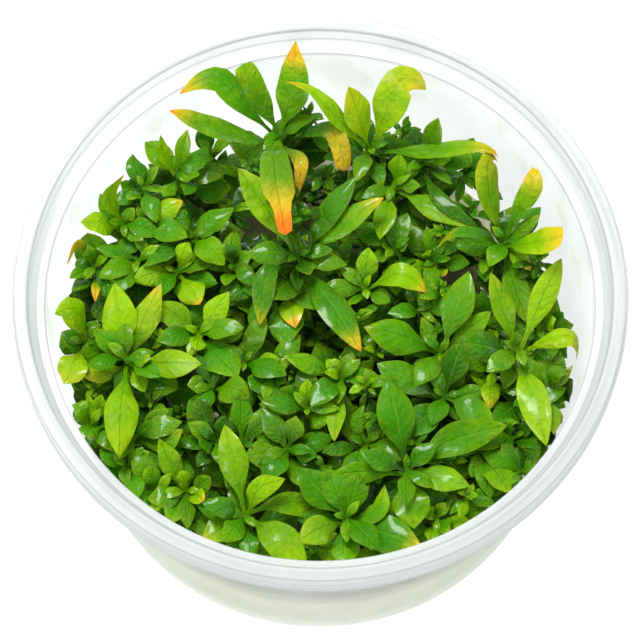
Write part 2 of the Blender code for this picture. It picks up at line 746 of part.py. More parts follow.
def stem_line(crown):
    """The stem's foot and crown. The foot leans a little towards the middle of the cup."""
    top = sight(*crown)
    top = keep_inside(top, STEM_RADIUS)
    foot = keep_inside(Vector((top.x * STEM_LEAN, top.y * STEM_LEAN, GEL_TOP)), STEM_RADIUS)
    foot.z = gel_height(math.hypot(foot.x, foot.y) + STEM_RADIUS) + FOOT_GAP
    return foot, top


class Plantlet:
    """A stem with rings of side faces, some of which grow into leaves."""

    def __init__(self, number, name, crown, leaves):
        self.number = number
        self.name = name
        self.foot, self.top = stem_line(crown)
        self.leaves = leaves
        self.whorls = 4 if len(leaves) > 6 else 3 if len(leaves) > 4 else 2
        self.own = [Placed(name, *self.stem_body())]
        self.drawn = {}

    def stem_points(self):
        """The stem's rings, each a list of corners: its foot, its low pair of leaves, its crown."""
        pair = self.top.z - LOW_PAIR_DROP
        low = self.top.z - self.whorls * WHORL_HEIGHT
        heights = [self.foot.z, pair, pair + WHORL_HEIGHT]
        heights += [low + k * WHORL_HEIGHT for k in range(self.whorls + 1)]
        rings = []
        for height in heights:
            share = (height - self.foot.z) / (self.top.z - self.foot.z)
            centre = self.foot.lerp(self.top, share)
            radius = STEM_RADIUS * (1.0 - STEM_TAPER * share)
            turns = [self.turn(side) for side in range(STEM_SIDES)]
            rings.append([
                centre + Vector((radius * math.cos(turn), radius * math.sin(turn), 0.0))
                for turn in turns
            ])
        return rings

    def turn(self, side):
        """The angle of a side's first corner."""
        return 2.0 * math.pi * side / STEM_SIDES + STEM_TWIST * self.number

    def seats(self):
        """Give each leaf a side face of its own: flat leaves low on the stem, steep ones high."""
        order = sorted(range(len(self.leaves)), key=self.steepness)
        taken = {}
        for rank, index in enumerate(order):
            whorl = rank * self.whorls // len(order)
            crowd = [side for _, side in taken]
            free = [side for side in range(STEM_SIDES) if (whorl, side) not in taken]
            cost = {
                side: self.turned_away(index, side) + SEAT_CROWDING * crowd.count(side)
                for side in free
            }
            taken[(whorl, min(free, key=cost.get))] = index
        return taken

    def turned_away(self, index, side):
        """The angle between the way a leaf goes and the way a side of the stem faces."""
        away = self.direction(index) - self.turn(side + 0.5)
        return abs((away + math.pi) % (2.0 * math.pi) - math.pi)

    def steepness(self, index):
        """How steeply a leaf rises from the crown to its tip."""
        tip = sight(*self.leaves[index][-1])
        return (tip.z - self.top.z) / math.hypot(tip.x - self.top.x, tip.y - self.top.y)

    def direction(self, index):
        """The angle at which a leaf leaves the stem, seen from above."""
        first = sight(*self.leaves[index][1])
        return math.atan2(first.y - self.top.y, first.x - self.top.x)

    def stem_body(self):
        """The stem as corners and faces, to keep other plantlets' leaves off it."""
        rings = self.stem_points()
        corners = [corner for ring in rings for corner in ring]
        corners.append(self.top + Vector((0.0, 0.0, BUD_HEIGHT)))
        faces = [tuple(range(STEM_SIDES))]
        for k in range(len(rings) - 1):
            for j in range(STEM_SIDES):
                a, b = STEM_SIDES * k + j, STEM_SIDES * k + (j + 1) % STEM_SIDES
                faces.append((a, b, b + STEM_SIDES, a + STEM_SIDES))
        last = STEM_SIDES * (len(rings) - 1)
        for j in range(STEM_SIDES):
            faces.append((last + j, last + (j + 1) % STEM_SIDES, len(corners) - 1))
        return corners, faces

    def add_leaf(self, level, side, width, points, shares, placed):
        """Find a leaf's middle line among the pieces that already have their place."""
        low, high = self.stem_points()[level:level + 2]
        after = (side + 1) % STEM_SIDES
        root_ring = [low[side], low[after], high[after], high[side]]
        root = sum(root_ring, Vector()) / 4.0
        for narrowing in NARROWINGS:
            leaf = Leaf(root, width * narrowing, points, shares)
            line = find_room(leaf, self.name, root_ring, placed, self.own)
            if line is not None:
                break
        if line is None:
            return
        sections, tip = leaf.rings(line, 0.0)
        self.own.append(Placed(self.name, *leaf_skin(off_root(root_ring, sections), sections, tip)))
        placed.append(Placed(self.name, *leaf_skin(root_ring, sections, tip)))
        self.drawn[(level, side)] = (sections, tip)

    def grow_crown(self, placed):
        """Give the crown's leaves their places, in the order of the table."""
        for (whorl, side), index in sorted(self.seats().items(), key=lambda seat: seat[1]):
            width, *points = self.leaves[index]
            shares = SMALL_SHARES if width < SMALL_LEAF else LARGE_SHARES
            if len(points) > 1:
                shares = BENT_SHARES
            points = [sight(*point) for point in points]
            self.add_leaf(CROWN_LEVEL + whorl, side, width, points, shares, placed)

    def grow_low_pair(self, placed):
        """Give the stem a pair of leaves below its crown, seen between the crowns."""
        for side in (self.number % 2, self.number % 2 + 2):
            angle = self.turn(side + 0.5)
            root = self.foot.lerp(self.top, 1.0 - LOW_PAIR_DROP / (self.top.z - self.foot.z))
            level = Vector((math.cos(angle), math.sin(angle), 0.0)) * LOW_LEAF_LENGTH
            tip = root + level + Vector((0.0, 0.0, LOW_LEAF_RISE))
            self.add_leaf(PAIR_LEVEL, side, LOW_LEAF_WIDTH, [tip], PAIR_SHARES, placed)

    def build(self, finish):
        """Make the stem, then draw a leaf out of each seat."""
        shape = bmesh.new()
        rings = [[shape.verts.new(corner) for corner in ring] for ring in self.stem_points()]
        bud = shape.verts.new(self.top + Vector((0.0, 0.0, BUD_HEIGHT)))
        shape.faces.new(rings[0][::-1])
        for j in range(STEM_SIDES):
            shape.faces.new((rings[-1][j], rings[-1][(j + 1) % STEM_SIDES], bud))
        for level, (low, high) in enumerate(zip(rings, rings[1:])):
            for j in range(STEM_SIDES):
                after = (j + 1) % STEM_SIDES
                seat = [low[j], low[after], high[after], high[j]]
                leaf = self.drawn.get((level, j))
                if leaf is None:
                    shape.faces.new(seat)
                else:
                    draw_leaf(shape, seat, *leaf)
        return add_object(self.name, shape, finish)


def draw_leaf(shape, seat, sections, tip):
    """Draw a leaf out of a four-cornered seat, section by section, and close it at its tip."""
    ring = seat
    for section in sections:
        following = [shape.verts.new(corner) for corner in section]
        for j in range(4):
            after = (j + 1) % 4
            shape.faces.new((ring[j], ring[after], following[after]))
            shape.faces.new((ring[j], following[after], following[j]))
        ring = following
    end = shape.verts.new(tip)
    for j in range(4):
        shape.faces.new((ring[j], ring[(j + 1) % 4], end))


def make_plantlets():
    """Give every stem its place, then every leaf, from the top plantlets to the lowest."""
    finish = material("leaf_green", LEAF_GREEN, 0.35)
    plantlets = [Plantlet(number, *row) for number, row in enumerate(PLANTLETS)]
    placed = [Placed(plantlet.name, *plantlet.stem_body()) for plantlet in plantlets]
    for plantlet in plantlets:
        plantlet.grow_crown(placed)
    for plantlet in plantlets:
        plantlet.grow_low_pair(placed)
    for plantlet in plantlets:
        plantlet.build(finish)


def main():
    """Clear the scene and make the cup, the gel and the plantlets."""
    for old in list(bpy.data.objects):
        bpy.data.objects.remove(old)
    make_cup().data.shade_smooth()
    make_gel().data.shade_smooth()
    make_plantlets()


main()
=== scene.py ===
"""A cup of tissue-culture aquarium plants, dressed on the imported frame.

The frosted cup and the gel are turned again with fine profiles. Each plantlet is grown anew on the
middle lines of the leaves of its solid, with thin blades, buds and lower leaves. All sizes are in
metres, in the frame's own axes.
"""

import logging
import math
import zlib
from collections.abc import Callable, Iterable, Sequence
from dataclasses import dataclass, field
from enum import Enum

import bpy
import numpy as np
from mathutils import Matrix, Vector
from mathutils.kdtree import KDTree


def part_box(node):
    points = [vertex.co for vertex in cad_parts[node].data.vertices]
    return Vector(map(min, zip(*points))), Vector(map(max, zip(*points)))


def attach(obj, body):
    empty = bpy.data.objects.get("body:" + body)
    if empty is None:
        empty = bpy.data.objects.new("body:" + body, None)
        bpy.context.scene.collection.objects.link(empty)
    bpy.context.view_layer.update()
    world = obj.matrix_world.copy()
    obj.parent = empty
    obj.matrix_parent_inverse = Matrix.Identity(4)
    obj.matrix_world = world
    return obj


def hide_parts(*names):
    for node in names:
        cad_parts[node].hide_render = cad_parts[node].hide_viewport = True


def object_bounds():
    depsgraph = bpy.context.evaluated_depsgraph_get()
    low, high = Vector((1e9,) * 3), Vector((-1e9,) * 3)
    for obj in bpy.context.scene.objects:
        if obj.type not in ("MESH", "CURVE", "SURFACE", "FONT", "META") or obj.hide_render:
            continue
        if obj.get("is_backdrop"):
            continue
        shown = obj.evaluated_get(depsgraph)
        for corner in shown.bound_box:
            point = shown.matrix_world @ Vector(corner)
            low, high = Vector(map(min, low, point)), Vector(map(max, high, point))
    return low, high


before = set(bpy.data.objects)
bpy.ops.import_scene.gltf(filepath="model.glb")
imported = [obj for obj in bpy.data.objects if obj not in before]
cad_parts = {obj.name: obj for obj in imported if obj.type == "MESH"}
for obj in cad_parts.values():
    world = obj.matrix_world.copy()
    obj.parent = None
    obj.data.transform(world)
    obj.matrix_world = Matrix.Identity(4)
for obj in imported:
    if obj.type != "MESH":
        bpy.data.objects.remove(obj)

MM = 0.001
BODY = "root"
FULL_TURN = 2.0 * math.pi
GOLDEN_ANGLE = math.pi * (3.0 - math.sqrt(5.0))
UP = np.array((0.0, 0.0, 1.0))

# Places of leaf tips in LEAF_LOOKS are in millimetres, read looking down into the cup from EYE, on
# a level sheet at READ_LEVEL.
EYE = np.array((0.0, -0.1534, 0.4123))
READ_LEVEL = 0.046

log = logging.getLogger("plant_cup")

Colour = tuple[float, float, float]
Stops = tuple[tuple[float, float], ...]


@dataclass(frozen=True)
class Ageing:
    """How a leaf's colour changes from its root (0) to its tip (1), and how its tip ends."""

    yellow: Stops = ((0.0, 0.0), (1.0, 0.0))
    orange: Stops = ((0.0, 0.0), (1.0, 0.0))
    light: float = 0.0
    blunt: bool = False
    pinch: float = 0.0


class LeafLook(Enum):
    """The looks that single leaves have in place of plain green."""

    GREEN = Ageing()
    LIGHT = Ageing(yellow=((0.0, 0.05), (0.6, 0.1), (1.0, 0.3)), light=0.22)
    YELLOW_GREEN = Ageing(yellow=((0.0, 0.12), (0.6, 0.25), (1.0, 0.5)), light=0.3)
    OLIVE = Ageing(
        yellow=((0.0, 0.08), (0.6, 0.22), (0.85, 0.45), (1.0, 0.6)),
        orange=((0.0, 0.0), (0.7, 0.0), (1.0, 0.25)),
    )
    PALE_TIP = Ageing(yellow=((0.0, 0.04), (0.8, 0.14), (0.95, 0.5), (1.0, 0.8)), light=0.3)
    YELLOW_TIP = Ageing(yellow=((0.0, 0.0), (0.68, 0.1), (0.88, 0.5), (1.0, 0.95)), light=0.12)
    ORANGE_TIP = Ageing(
        yellow=((0.0, 0.0), (0.74, 0.1), (0.9, 0.6), (1.0, 1.0)),
        orange=((0.0, 0.0), (0.9, 0.05), (0.97, 0.5), (1.0, 0.7)),
        light=0.12,
    )
    GOLD_TIP = Ageing(
        yellow=((0.0, 0.0), (0.6, 0.12), (0.74, 0.3), (0.8, 0.85), (1.0, 0.95)),
        orange=((0.0, 0.0), (0.76, 0.0), (0.82, 0.3), (1.0, 0.4)),
        light=0.1,
    )
    BLUNT_YELLOW = Ageing(
        yellow=((0.0, 0.0), (0.6, 0.1), (0.85, 0.6), (1.0, 1.0)),
        orange=((0.0, 0.0), (0.93, 0.0), (1.0, 0.25)),
        light=0.06,
        blunt=True,
    )
    BLUNT_GREEN = Ageing(yellow=((0.0, 0.0), (1.0, 0.2)), light=0.12, blunt=True)
    YELLOW_HALF = Ageing(
        yellow=((0.0, 0.0), (0.5, 0.12), (0.66, 0.6), (1.0, 1.0)),
        orange=((0.0, 0.0), (0.75, 0.1), (1.0, 0.4)),
        light=0.15,
        blunt=True,
    )
    RED_HALF = Ageing(
        yellow=((0.0, 0.0), (0.58, 0.1), (0.69, 0.35), (0.77, 0.75), (0.84, 1.0), (1.0, 1.0)),
        orange=((0.0, 0.0), (0.74, 0.0), (0.8, 0.2), (0.86, 0.6), (0.92, 1.0), (1.0, 1.0)),
        light=0.15,
        blunt=True,
        pinch=0.45,
    )
    MUSTARD = Ageing(
        yellow=((0.0, 0.1), (0.45, 0.3), (0.7, 0.8), (1.0, 1.0)),
        orange=((0.0, 0.0), (0.6, 0.1), (1.0, 0.35)),
    )


# Which leaves have a look of their own, by the places of their tips. All others are GREEN.
LEAF_LOOKS: dict[LeafLook, tuple[tuple[float, float], ...]] = {
    LeafLook.LIGHT: (
        (-13.9, 26.0), (34.1, -2.5), (40.3, 9.2), (37.4, -24.6), (28.4, 6.7), (-34.2, 4.8), (-19.4, -9.7),
        (-32.4, -26.1), (-40.2, 15.8), (-15.8, 4.2), (-11.0, 10.2), (-17.2, 10.3), (2.3, -23.3),
        (-3.6, -40.3), (-15.5, -20.3), (-5.6, -29.6), (-2.0, -45.0),
    ),
    LeafLook.YELLOW_GREEN: (
        (4.9, 41.5), (41.9, -9.3), (-39.2, -11.7), (-42.0, 2.3), (-43.2, -13.8), (39.2, 2.2),
        (41.5, -9.9), (38.7, -22.6),
    ),
    LeafLook.OLIVE: ((18.3, 40.8), (30.2, 27.0), (-26.4, 4.6), (27.6, -17.8)),
    LeafLook.PALE_TIP: ((-9.9, -2.8),),
    LeafLook.YELLOW_TIP: (
        (30.3, 27.8), (10.8, 20.4), (19.5, 10.9), (35.2, 6.9), (-33.2, 24.7), (-23.1, 19.8),
        (16.5, -41.6), (-18.9, -40.3), (-18.5, -33.2),
    ),
    LeafLook.ORANGE_TIP: (
        (-24.2, 40.0), (-25.9, 36.9), (-6.2, 42.4), (6.8, -7.6), (-19.9, 0.8), (17.7, 2.9), (21.0, 6.1),
        (28.9, -5.9),
    ),
    LeafLook.GOLD_TIP: ((-4.2, 50.6), (-4.0, -3.4)),
    LeafLook.BLUNT_YELLOW: ((41.3, 13.5), (34.6, 24.9)),
    LeafLook.BLUNT_GREEN: ((-13.6, 46.4),),
    LeafLook.YELLOW_HALF: ((4.0, 24.6),),
    LeafLook.RED_HALF: ((-5.6, 12.3),),
    LeafLook.MUSTARD: ((-3.9, 20.3), (-37.2, 1.2), (-42.2, 7.9)),
}


class Effect(Enum):
    """The surface effects that more than one finish uses."""

    MOTTLE = "mottle"
    WET_PATCHES = "wet_patches"
    VEINS = "veins"


@dataclass(frozen=True)
class Value:
    """A node's output. Arithmetic with it adds Math nodes to its graph."""

    graph: "Graph"
    socket: bpy.types.NodeSocket

    def __add__(self, other: object) -> "Value":
        """The sum."""
        return self.graph.math("ADD", self, other)

    def __sub__(self, other: object) -> "Value":
        """The difference."""
        return self.graph.math("SUBTRACT", self, other)

    def __rsub__(self, other: float) -> "Value":
        """The difference from a number."""
        return self.graph.math("SUBTRACT", other, self)

    def __mul__(self, other: object) -> "Value":
        """The product."""
        return self.graph.math("MULTIPLY", self, other)


@dataclass
class Graph:
    """A node tree with short calls for its nodes and links."""

    tree: bpy.types.NodeTree

    def add(self, kind: str, **settings: object) -> bpy.types.Node:
        """Add a node.

        Args:
            kind: The node's type; ShaderNode is put in front where it isn't a group's own end.
            settings: Values for the node's own properties.

        Returns:
            The new node.
        """
        node = self.tree.nodes.new(kind if kind.startswith("NodeGroup") else "ShaderNode" + kind)
        for name, value in settings.items():
            setattr(node, name, value)
        return node

    def feed(self, socket: bpy.types.NodeSocket, value: object) -> None:
        """Link a socket to another, or set its value.

        Args:
            socket: The input that is fed.
            value: A node's output, or a plain value.
        """
        if isinstance(value, Value):
            self.tree.links.new(value.socket, socket)
        elif isinstance(value, tuple) and len(value) == 3 and socket.type == "RGBA":
            socket.default_value = (*value, 1.0)
        else:
            socket.default_value = value

    def result(self, node: bpy.types.Node, values: Iterable, output: int | str = 0) -> Value:
        """Feed a node's first inputs in their order.

        Args:
            node: The node.
            values: A value for each input.
            output: Which output is the result.

        Returns:
            The result.
        """
        for socket, value in zip(node.inputs, values):
            self.feed(socket, value)
        return Value(self, node.outputs[output])

    def math(self, operation: str, *values: object) -> Value:
        """The result of a Math node."""
        return self.result(self.add("Math", operation=operation), values)

    def mix(self, share: object, first: object, second: object, blend: str = "MIX") -> Value:
        """Mix two colours.

        Args:
            share: How much of the second colour is taken.
            first: The first colour.
            second: The second colour.
            blend: The blend type's name.

        Returns:
            The mixed colour.
        """
        node = self.add("Mix", data_type="RGBA", blend_type=blend)
        self.feed(node.inputs[6], first)
        self.feed(node.inputs[7], second)
        return self.result(node, [share], 2)

    def spread(self, value: object, low: float, high: float, start: float = 0.0, end: float = 1.0) -> Value:
        """Map values from low to high smoothly to start to end, and hold them beyond."""
        node = self.add("MapRange", interpolation_type="SMOOTHSTEP")
        return self.result(node, (value, low, high, start, end))

    def noise(self, scale: object, detail: float) -> Value:
        """Noise over the piece's own coordinates.

        Args:
            scale: Its scale, in waves a metre.
            detail: How many finer layers it has.

        Returns:
            The noise, from 0 to 1.
        """
        node = self.add("TexNoise")
        self.feed(node.inputs["Scale"], scale)
        self.feed(node.inputs["Detail"], detail)
        return self.result(node, [self.own_place()])

    def own_place(self) -> Value:
        """The piece's own coordinates."""
        return Value(self, self.add("TexCoord").outputs["Object"])

    def parts(self, vector: Value) -> list[Value]:
        """A vector's three values.

        Args:
            vector: The vector.

        Returns:
            The values.
        """
        node = self.add("SeparateXYZ")
        self.feed(node.inputs[0], vector)
        return [Value(self, output) for output in node.outputs]

    def radius(self) -> Value:
        """The distance from the piece's own Z axis."""
        x, y, _ = self.parts(self.own_place())
        return self.math("SQRT", x * x + y * y)

    def effect(self, effect: Effect, **values: object) -> dict[str, Value]:
        """Place a shared effect.

        Args:
            effect: The effect to place.
            values: Its inputs, with their names in lower case.

        Returns:
            Its outputs by name.
        """
        node = self.add("Group", node_tree=bpy.data.node_groups[effect.value])
        for name, value in values.items():
            self.feed(node.inputs[name.capitalize()], value)
        return {output.name: Value(self, output) for output in node.outputs}


class Effects:
    """The node groups of the shared surface effects, each built once."""

    def __init__(self) -> None:
        """Build the groups, with each input's usual value."""
        self.build(Effect.MOTTLE, self.mottle, {"Scale": 400.0, "Strength": 1.0})
        self.build(Effect.WET_PATCHES, self.wet_patches, {"Scale": 300.0, "Cover": 0.5})
        self.build(Effect.VEINS, self.veins, {"Across": 0.0, "Along": 0.5, "Pairs": 7.0})

    def build(self, effect: Effect, recipe: Callable, inputs: dict[str, float]) -> None:
        """Build an effect's group.

        Args:
            effect: The effect.
            recipe: Works its outputs out from its inputs.
            inputs: Its inputs and their usual values.
        """
        graph = Graph(bpy.data.node_groups.new(effect.value, "ShaderNodeTree"))
        sockets = graph.tree.interface
        for name, value in inputs.items():
            made = sockets.new_socket(name, in_out="INPUT", socket_type="NodeSocketFloat")
            made.default_value = value
        start = graph.add("NodeGroupInput")
        outputs = recipe(graph, *(Value(graph, start.outputs[name]) for name in inputs))
        for name in outputs:
            sockets.new_socket(name, in_out="OUTPUT", socket_type="NodeSocketFloat")
        end = graph.add("NodeGroupOutput")
        for name, value in outputs.items():
            graph.feed(end.inputs[name], value)

    def mottle(self, graph: Graph, scale: Value, strength: Value) -> dict[str, Value]:
        """Soft blotches of two sizes, as a mask around one half."""
        both = graph.noise(scale, 2.0) * 0.65 + graph.noise(scale * 4.3, 3.0) * 0.35
        return {"Mask": (both - 0.5) * strength + 0.5}

    def wet_patches(self, graph: Graph, scale: Value, cover: Value) -> dict[str, Value]:
        """Patches of water film, as a mask with soft edges and a height for their rims."""
        above = graph.noise(scale, 1.5) - (1.0 - cover)
        return {"Mask": graph.spread(above, -0.12, 0.12), "Height": graph.spread(above, -0.02, 0.2)}

    def veins(self, graph: Graph, across: Value, along: Value, pairs: Value) -> dict[str, Value]:
        """A leaf's midrib and side veins.

        Args:
            graph: The group's graph.
            across: The place across the leaf, from -1 to 1.
            along: The place along it, from 0 to 1.
            pairs: How many pairs of side veins it has.

        Returns:
            The masks of the midrib and the side veins, and the height between them.
        """
        aside = graph.math("ABSOLUTE", across)
        midrib = graph.spread(aside, 0.03, 0.13, 1.0, 0.0)
        step = graph.math("PINGPONG", along * pairs - graph.math("POWER", aside, 0.8) * 1.7, 0.5)
        fade = graph.spread(aside, 0.75, 1.0, 1.0, 0.0)
        swell = graph.spread(step, 0.0, 0.5) * fade
        veins = graph.spread(step, 0.0, 0.13, 1.0, 0.0) * fade
        return {"Midrib": midrib, "Veins": veins, "Height": swell * 0.35 - midrib}


class Surface(Graph):
    """A material's graph round its Principled shader."""

    def __init__(self, name: str) -> None:
        """Make the material.

        Args:
            name: The material's name.
        """
        self.material = bpy.data.materials.new(name)
        self.material.use_nodes = True
        super().__init__(self.material.node_tree)
        self.shader = self.tree.nodes["Principled BSDF"]

    def attribute(self, name: str) -> list[Value]:
        """The three values of a mesh attribute."""
        return self.parts(Value(self, self.add("Attribute", attribute_name=name).outputs["Vector"]))

    def mottle(self, scale: float, strength: float) -> Value:
        """The mask of the shared blotches."""
        return self.effect(Effect.MOTTLE, scale=scale, strength=strength)["Mask"]

    def bump(self, height: Value, depth: float) -> Value:
        """Give the shader a bumpy surface.

        Args:
            height: The height, from 0 to 1.
            depth: How deep a height of 1 is, in metres.

        Returns:
            The bumped normal.
        """
        node = self.add("Bump")
        for name, value in {"Strength": 1.0, "Distance": depth, "Height": height}.items():
            self.feed(node.inputs[name], value)
        normal = Value(self, node.outputs["Normal"])
        self.feed(self.shader.inputs["Normal"], normal)
        return normal

    def let_light_through(self, colour: Value, normal: Value, share: float) -> None:
        """Let part of the light glow through a thin material.

        Args:
            colour: The colour of the light that comes through.
            normal: The surface's bumped normal.
            share: How much of the light comes through.
        """
        through = self.add("BsdfTranslucent")
        self.feed(through.inputs["Color"], colour)
        self.feed(through.inputs["Normal"], normal)
        shaders = [Value(self, node.outputs[0]) for node in (self.shader, through)]
        blend = self.result(self.add("MixShader"), [share, *shaders])
        self.feed(self.tree.nodes["Material Output"].inputs["Surface"], blend)

    def dress(self, values: dict[str, object]) -> bpy.types.Material:
        """Feed the shader's inputs.

        Args:
            values: What goes into each input, by the input's name.

        Returns:
            The material.
        """
        for name, value in values.items():
            self.feed(self.shader.inputs[name], value)
        return self.material


@dataclass(frozen=True)
class LeafFinish:
    """Wet, thin, glossy leaf tissue that lets light through."""

    deep: Colour = (0.009, 0.075, 0.001)
    middle: Colour = (0.045, 0.265, 0.000)
    fresh: Colour = (0.265, 0.530, 0.001)
    yellow: Colour = (0.70, 0.52, 0.020)
    orange: Colour = (0.86, 0.20, 0.008)
    warm: Colour = (0.130, 0.330, 0.002)
    glow: Colour = (1.0, 1.0, 0.2)
    wet_cover: tuple[float, float] = (0.36, 0.66)
    let_through: float = 0.34
    blotch_scale: float = 330.0
    wet_scale: float = 520.0
    grain_scale: float = 1500.0
    vein_pairs: float = 8.0
    depth: float = 0.14 * MM

    def build(self) -> bpy.types.Material:
        """Build the leaf material.

        Returns:
            The material.
        """
        leaf = Surface("leaf_wet")
        across, along, chance = leaf.attribute("leaf_place")
        blotch = leaf.mottle(self.blotch_scale, 1.5)
        veins = leaf.effect(Effect.VEINS, across=across, along=along, pairs=self.vein_pairs)
        cover = leaf.spread(chance, 0.0, 1.0, *self.wet_cover)
        wet = leaf.effect(Effect.WET_PATCHES, scale=self.wet_scale, cover=cover)["Mask"]
        colour = self.colour(leaf, across, chance, blotch, veins)
        swell = blotch * 1.6 + leaf.noise(self.grain_scale, 3.0) * wet * 2.4
        normal = leaf.bump(veins["Height"] + swell, self.depth)
        leaf.let_light_through(leaf.mix(1.0, colour, self.glow, "MULTIPLY"), normal, self.let_through)
        return leaf.dress({
            "Base Color": colour,
            "Roughness": leaf.spread(blotch, 0.3, 0.7, 0.32, 0.50),
            "Coat Weight": wet * 0.55,
            "Coat Roughness": 0.13,
            "Coat IOR": 1.45,
            "Specular IOR Level": 0.1,
        })

    def colour(
        self, leaf: Surface, across: Value, chance: Value, blotch: Value, veins: dict[str, Value]
    ) -> Value:
        """Mix the leaf's colour from its freshness, its age, its veins and its blotches.

        Args:
            leaf: The material's graph.
            across: The place across the leaf.
            chance: A number of each leaf's own.
            blotch: The blotches' mask.
            veins: The veins' masks.

        Returns:
            The colour.
        """
        # The third value, light, also holds painted shade for lower leaves and painted light for tall and
        # left-hand ones.
        yellow, orange, light = leaf.attribute("leaf_age_and_shade")
        uneven = blotch - 0.5
        shade = light + uneven * 0.32
        warmth = leaf.spread(leaf.math("PINGPONG", chance * 3.0, 1.0), 0.3, 1.0, 0.0, 0.7)
        low = leaf.mix(leaf.spread(shade, 0.0, 0.5), self.deep, leaf.mix(warmth, self.middle, self.warm))
        green = leaf.mix(leaf.spread(shade, 0.45, 1.0), low, self.fresh)
        margin = leaf.math("POWER", leaf.math("ABSOLUTE", across), 3.0) * 0.08
        green = leaf.mix(margin + veins["Veins"] * 0.05, green, self.yellow)
        green = leaf.mix(veins["Midrib"] * 0.18, green, self.fresh)
        rough_edge = uneven * 0.5
        yellowed = leaf.spread(yellow + rough_edge, 0.05, 0.95) * leaf.spread(yellow, 0.0, 0.1)
        burnt = leaf.spread(orange + rough_edge, 0.1, 0.9) * leaf.spread(orange, 0.0, 0.1)
        return leaf.mix(burnt, leaf.mix(yellowed, green, self.yellow), self.orange)


@dataclass(frozen=True)
class StemFinish:
    """Smooth green stem tissue that reddens towards the gel."""

    green: Colour = (0.16, 0.36, 0.02)
    red: Colour = (0.20, 0.055, 0.012)
    turns_red: tuple[float, float] = (26.0 * MM, 36.0 * MM)

    def build(self) -> bpy.types.Material:
        """Build the stem material.

        Returns:
            The material.
        """
        stem = Surface("stem_wet")
        blotch = stem.mottle(700.0, 1.4)
        wet = stem.effect(Effect.WET_PATCHES, scale=500.0, cover=0.5)["Mask"]
        rise = stem.parts(stem.own_place())[2] + (blotch - 0.5) * (10.0 * MM)
        stem.bump(blotch, 0.08 * MM)
        return stem.dress({
            "Base Color": stem.mix(stem.spread(rise, *self.turns_red), self.red, self.green),
            "Roughness": stem.spread(blotch, 0.3, 0.7, 0.25, 0.45),
            "Coat Weight": wet * 0.7,
        })


@dataclass(frozen=True)
class FrostedFinish:
    """Milky frosted plastic that light passes through, cloudy, with painted shade and painted leaf shadows.
    """

    clear: Colour = (0.76, 0.79, 0.78)
    milky: Colour = (0.82, 0.84, 0.83)
    # The colour of the painted shade along the lip, the ledge and the skirt's steps.
    edge: Colour = (0.40, 0.42, 0.45)
    see_through: tuple[float, float] = (0.30, 0.38)
    # The next three values paint shade on the rim: towards the front it is darker and less see-through.
    front_rim_alpha: float = 0.2
    rim_shade: Colour = (0.86, 0.855, 0.87)
    shaded_rim: tuple[float, float] = (-30.0 * MM, 40.0 * MM)
    # Painted shadows of the leaves behind the wall: faint grey-green blotches on the wall below the rim.
    leaf_shadow: Colour = (0.50, 0.58, 0.46)
    leaf_shadows_from: tuple[float, float] = (38.0 * MM, 44.0 * MM)
    let_through: float = 0.45
    edge_radii: tuple[float, ...] = (47.35 * MM, 44.95 * MM)
    edge_width: float = 0.13 * MM
    edges_above: float = 51.0 * MM
    step: float = 0.46 * MM
    skirt_radius: float = 49.3 * MM
    cloud_scale: float = 45.0
    grain_scale: float = 2600.0
    leaf_shadow_scale: float = 150.0
    depth: float = 0.02 * MM

    def build(self) -> bpy.types.Material:
        """Build the cup material.

        Returns:
            The material.
        """
        cup = Surface("plastic_frosted")
        cloud = cup.mottle(self.cloud_scale, 1.2)
        grain = cup.mottle(self.grain_scale, 1.0)
        _, y, z = cup.parts(cup.own_place())
        high = cup.spread(z, self.edges_above - MM, self.edges_above)
        # Painted shade in fine lines along the lip, the ledge and the skirt's steps.
        shaded_edges = self.shaded_edges(cup, z, high)
        # Painted shadows of the leaves, in a band of the wall under the rim.
        leaf_shadows = cup.spread(cup.noise(self.leaf_shadow_scale, 1.0), 0.52, 0.6, 0.0, 0.3)
        leaf_shadows = leaf_shadows * cup.spread(z, *self.leaf_shadows_from) * (1.0 - high)
        body = cup.mix(leaf_shadows, cup.mix(cloud, self.clear, self.milky), self.leaf_shadow)
        # Painted shade: the rim darkens towards the front and lets less of the floor show through there.
        front_rim_shade = high * cup.spread(y, *self.shaded_rim, 1.0, 0.12)
        colour = cup.mix(front_rim_shade, cup.mix(shaded_edges * 0.8, body, self.edge), self.rim_shade, "MULTIPLY")
        alpha = cup.spread(cloud, 0.3, 0.7, *self.see_through) + front_rim_shade * self.front_rim_alpha
        normal = cup.bump(grain + cloud * 2.0 - shaded_edges * 4.0, self.depth)
        cup.let_light_through(colour, normal, self.let_through)
        return cup.dress({
            "Base Color": colour,
            "Alpha": cup.math("MAXIMUM", alpha, shaded_edges * 0.9),
            "Roughness": cup.spread(grain, 0.3, 0.7, 0.26, 0.38),
            "IOR": 1.49,
        })

    def shaded_edges(self, cup: Surface, height: Value, high: Value) -> Value:
        """Paint fine darker lines of shade at the lip, at the ledge and along the skirt's steps.

        Args:
            cup: The material's graph.
            height: The height above the base.
            high: The mask of the rim.

        Returns:
            The lines' mask.
        """
        radius = cup.radius()
        lines: object = 0.0
        for edge in self.edge_radii:
            away = cup.math("ABSOLUTE", radius - edge)
            lines = cup.math("MAXIMUM", lines, cup.spread(away, 0.0, self.edge_width, 1.0, 0.0))
        rise = cup.math("PINGPONG", height, self.step)
        steps = cup.spread(rise, 0.15 * self.step, 0.6 * self.step, 1.0, 0.0)
        outside = cup.spread(radius, self.skirt_radius, self.skirt_radius + 0.2 * MM)
        return cup.math("MAXIMUM", lines * high, steps * outside)


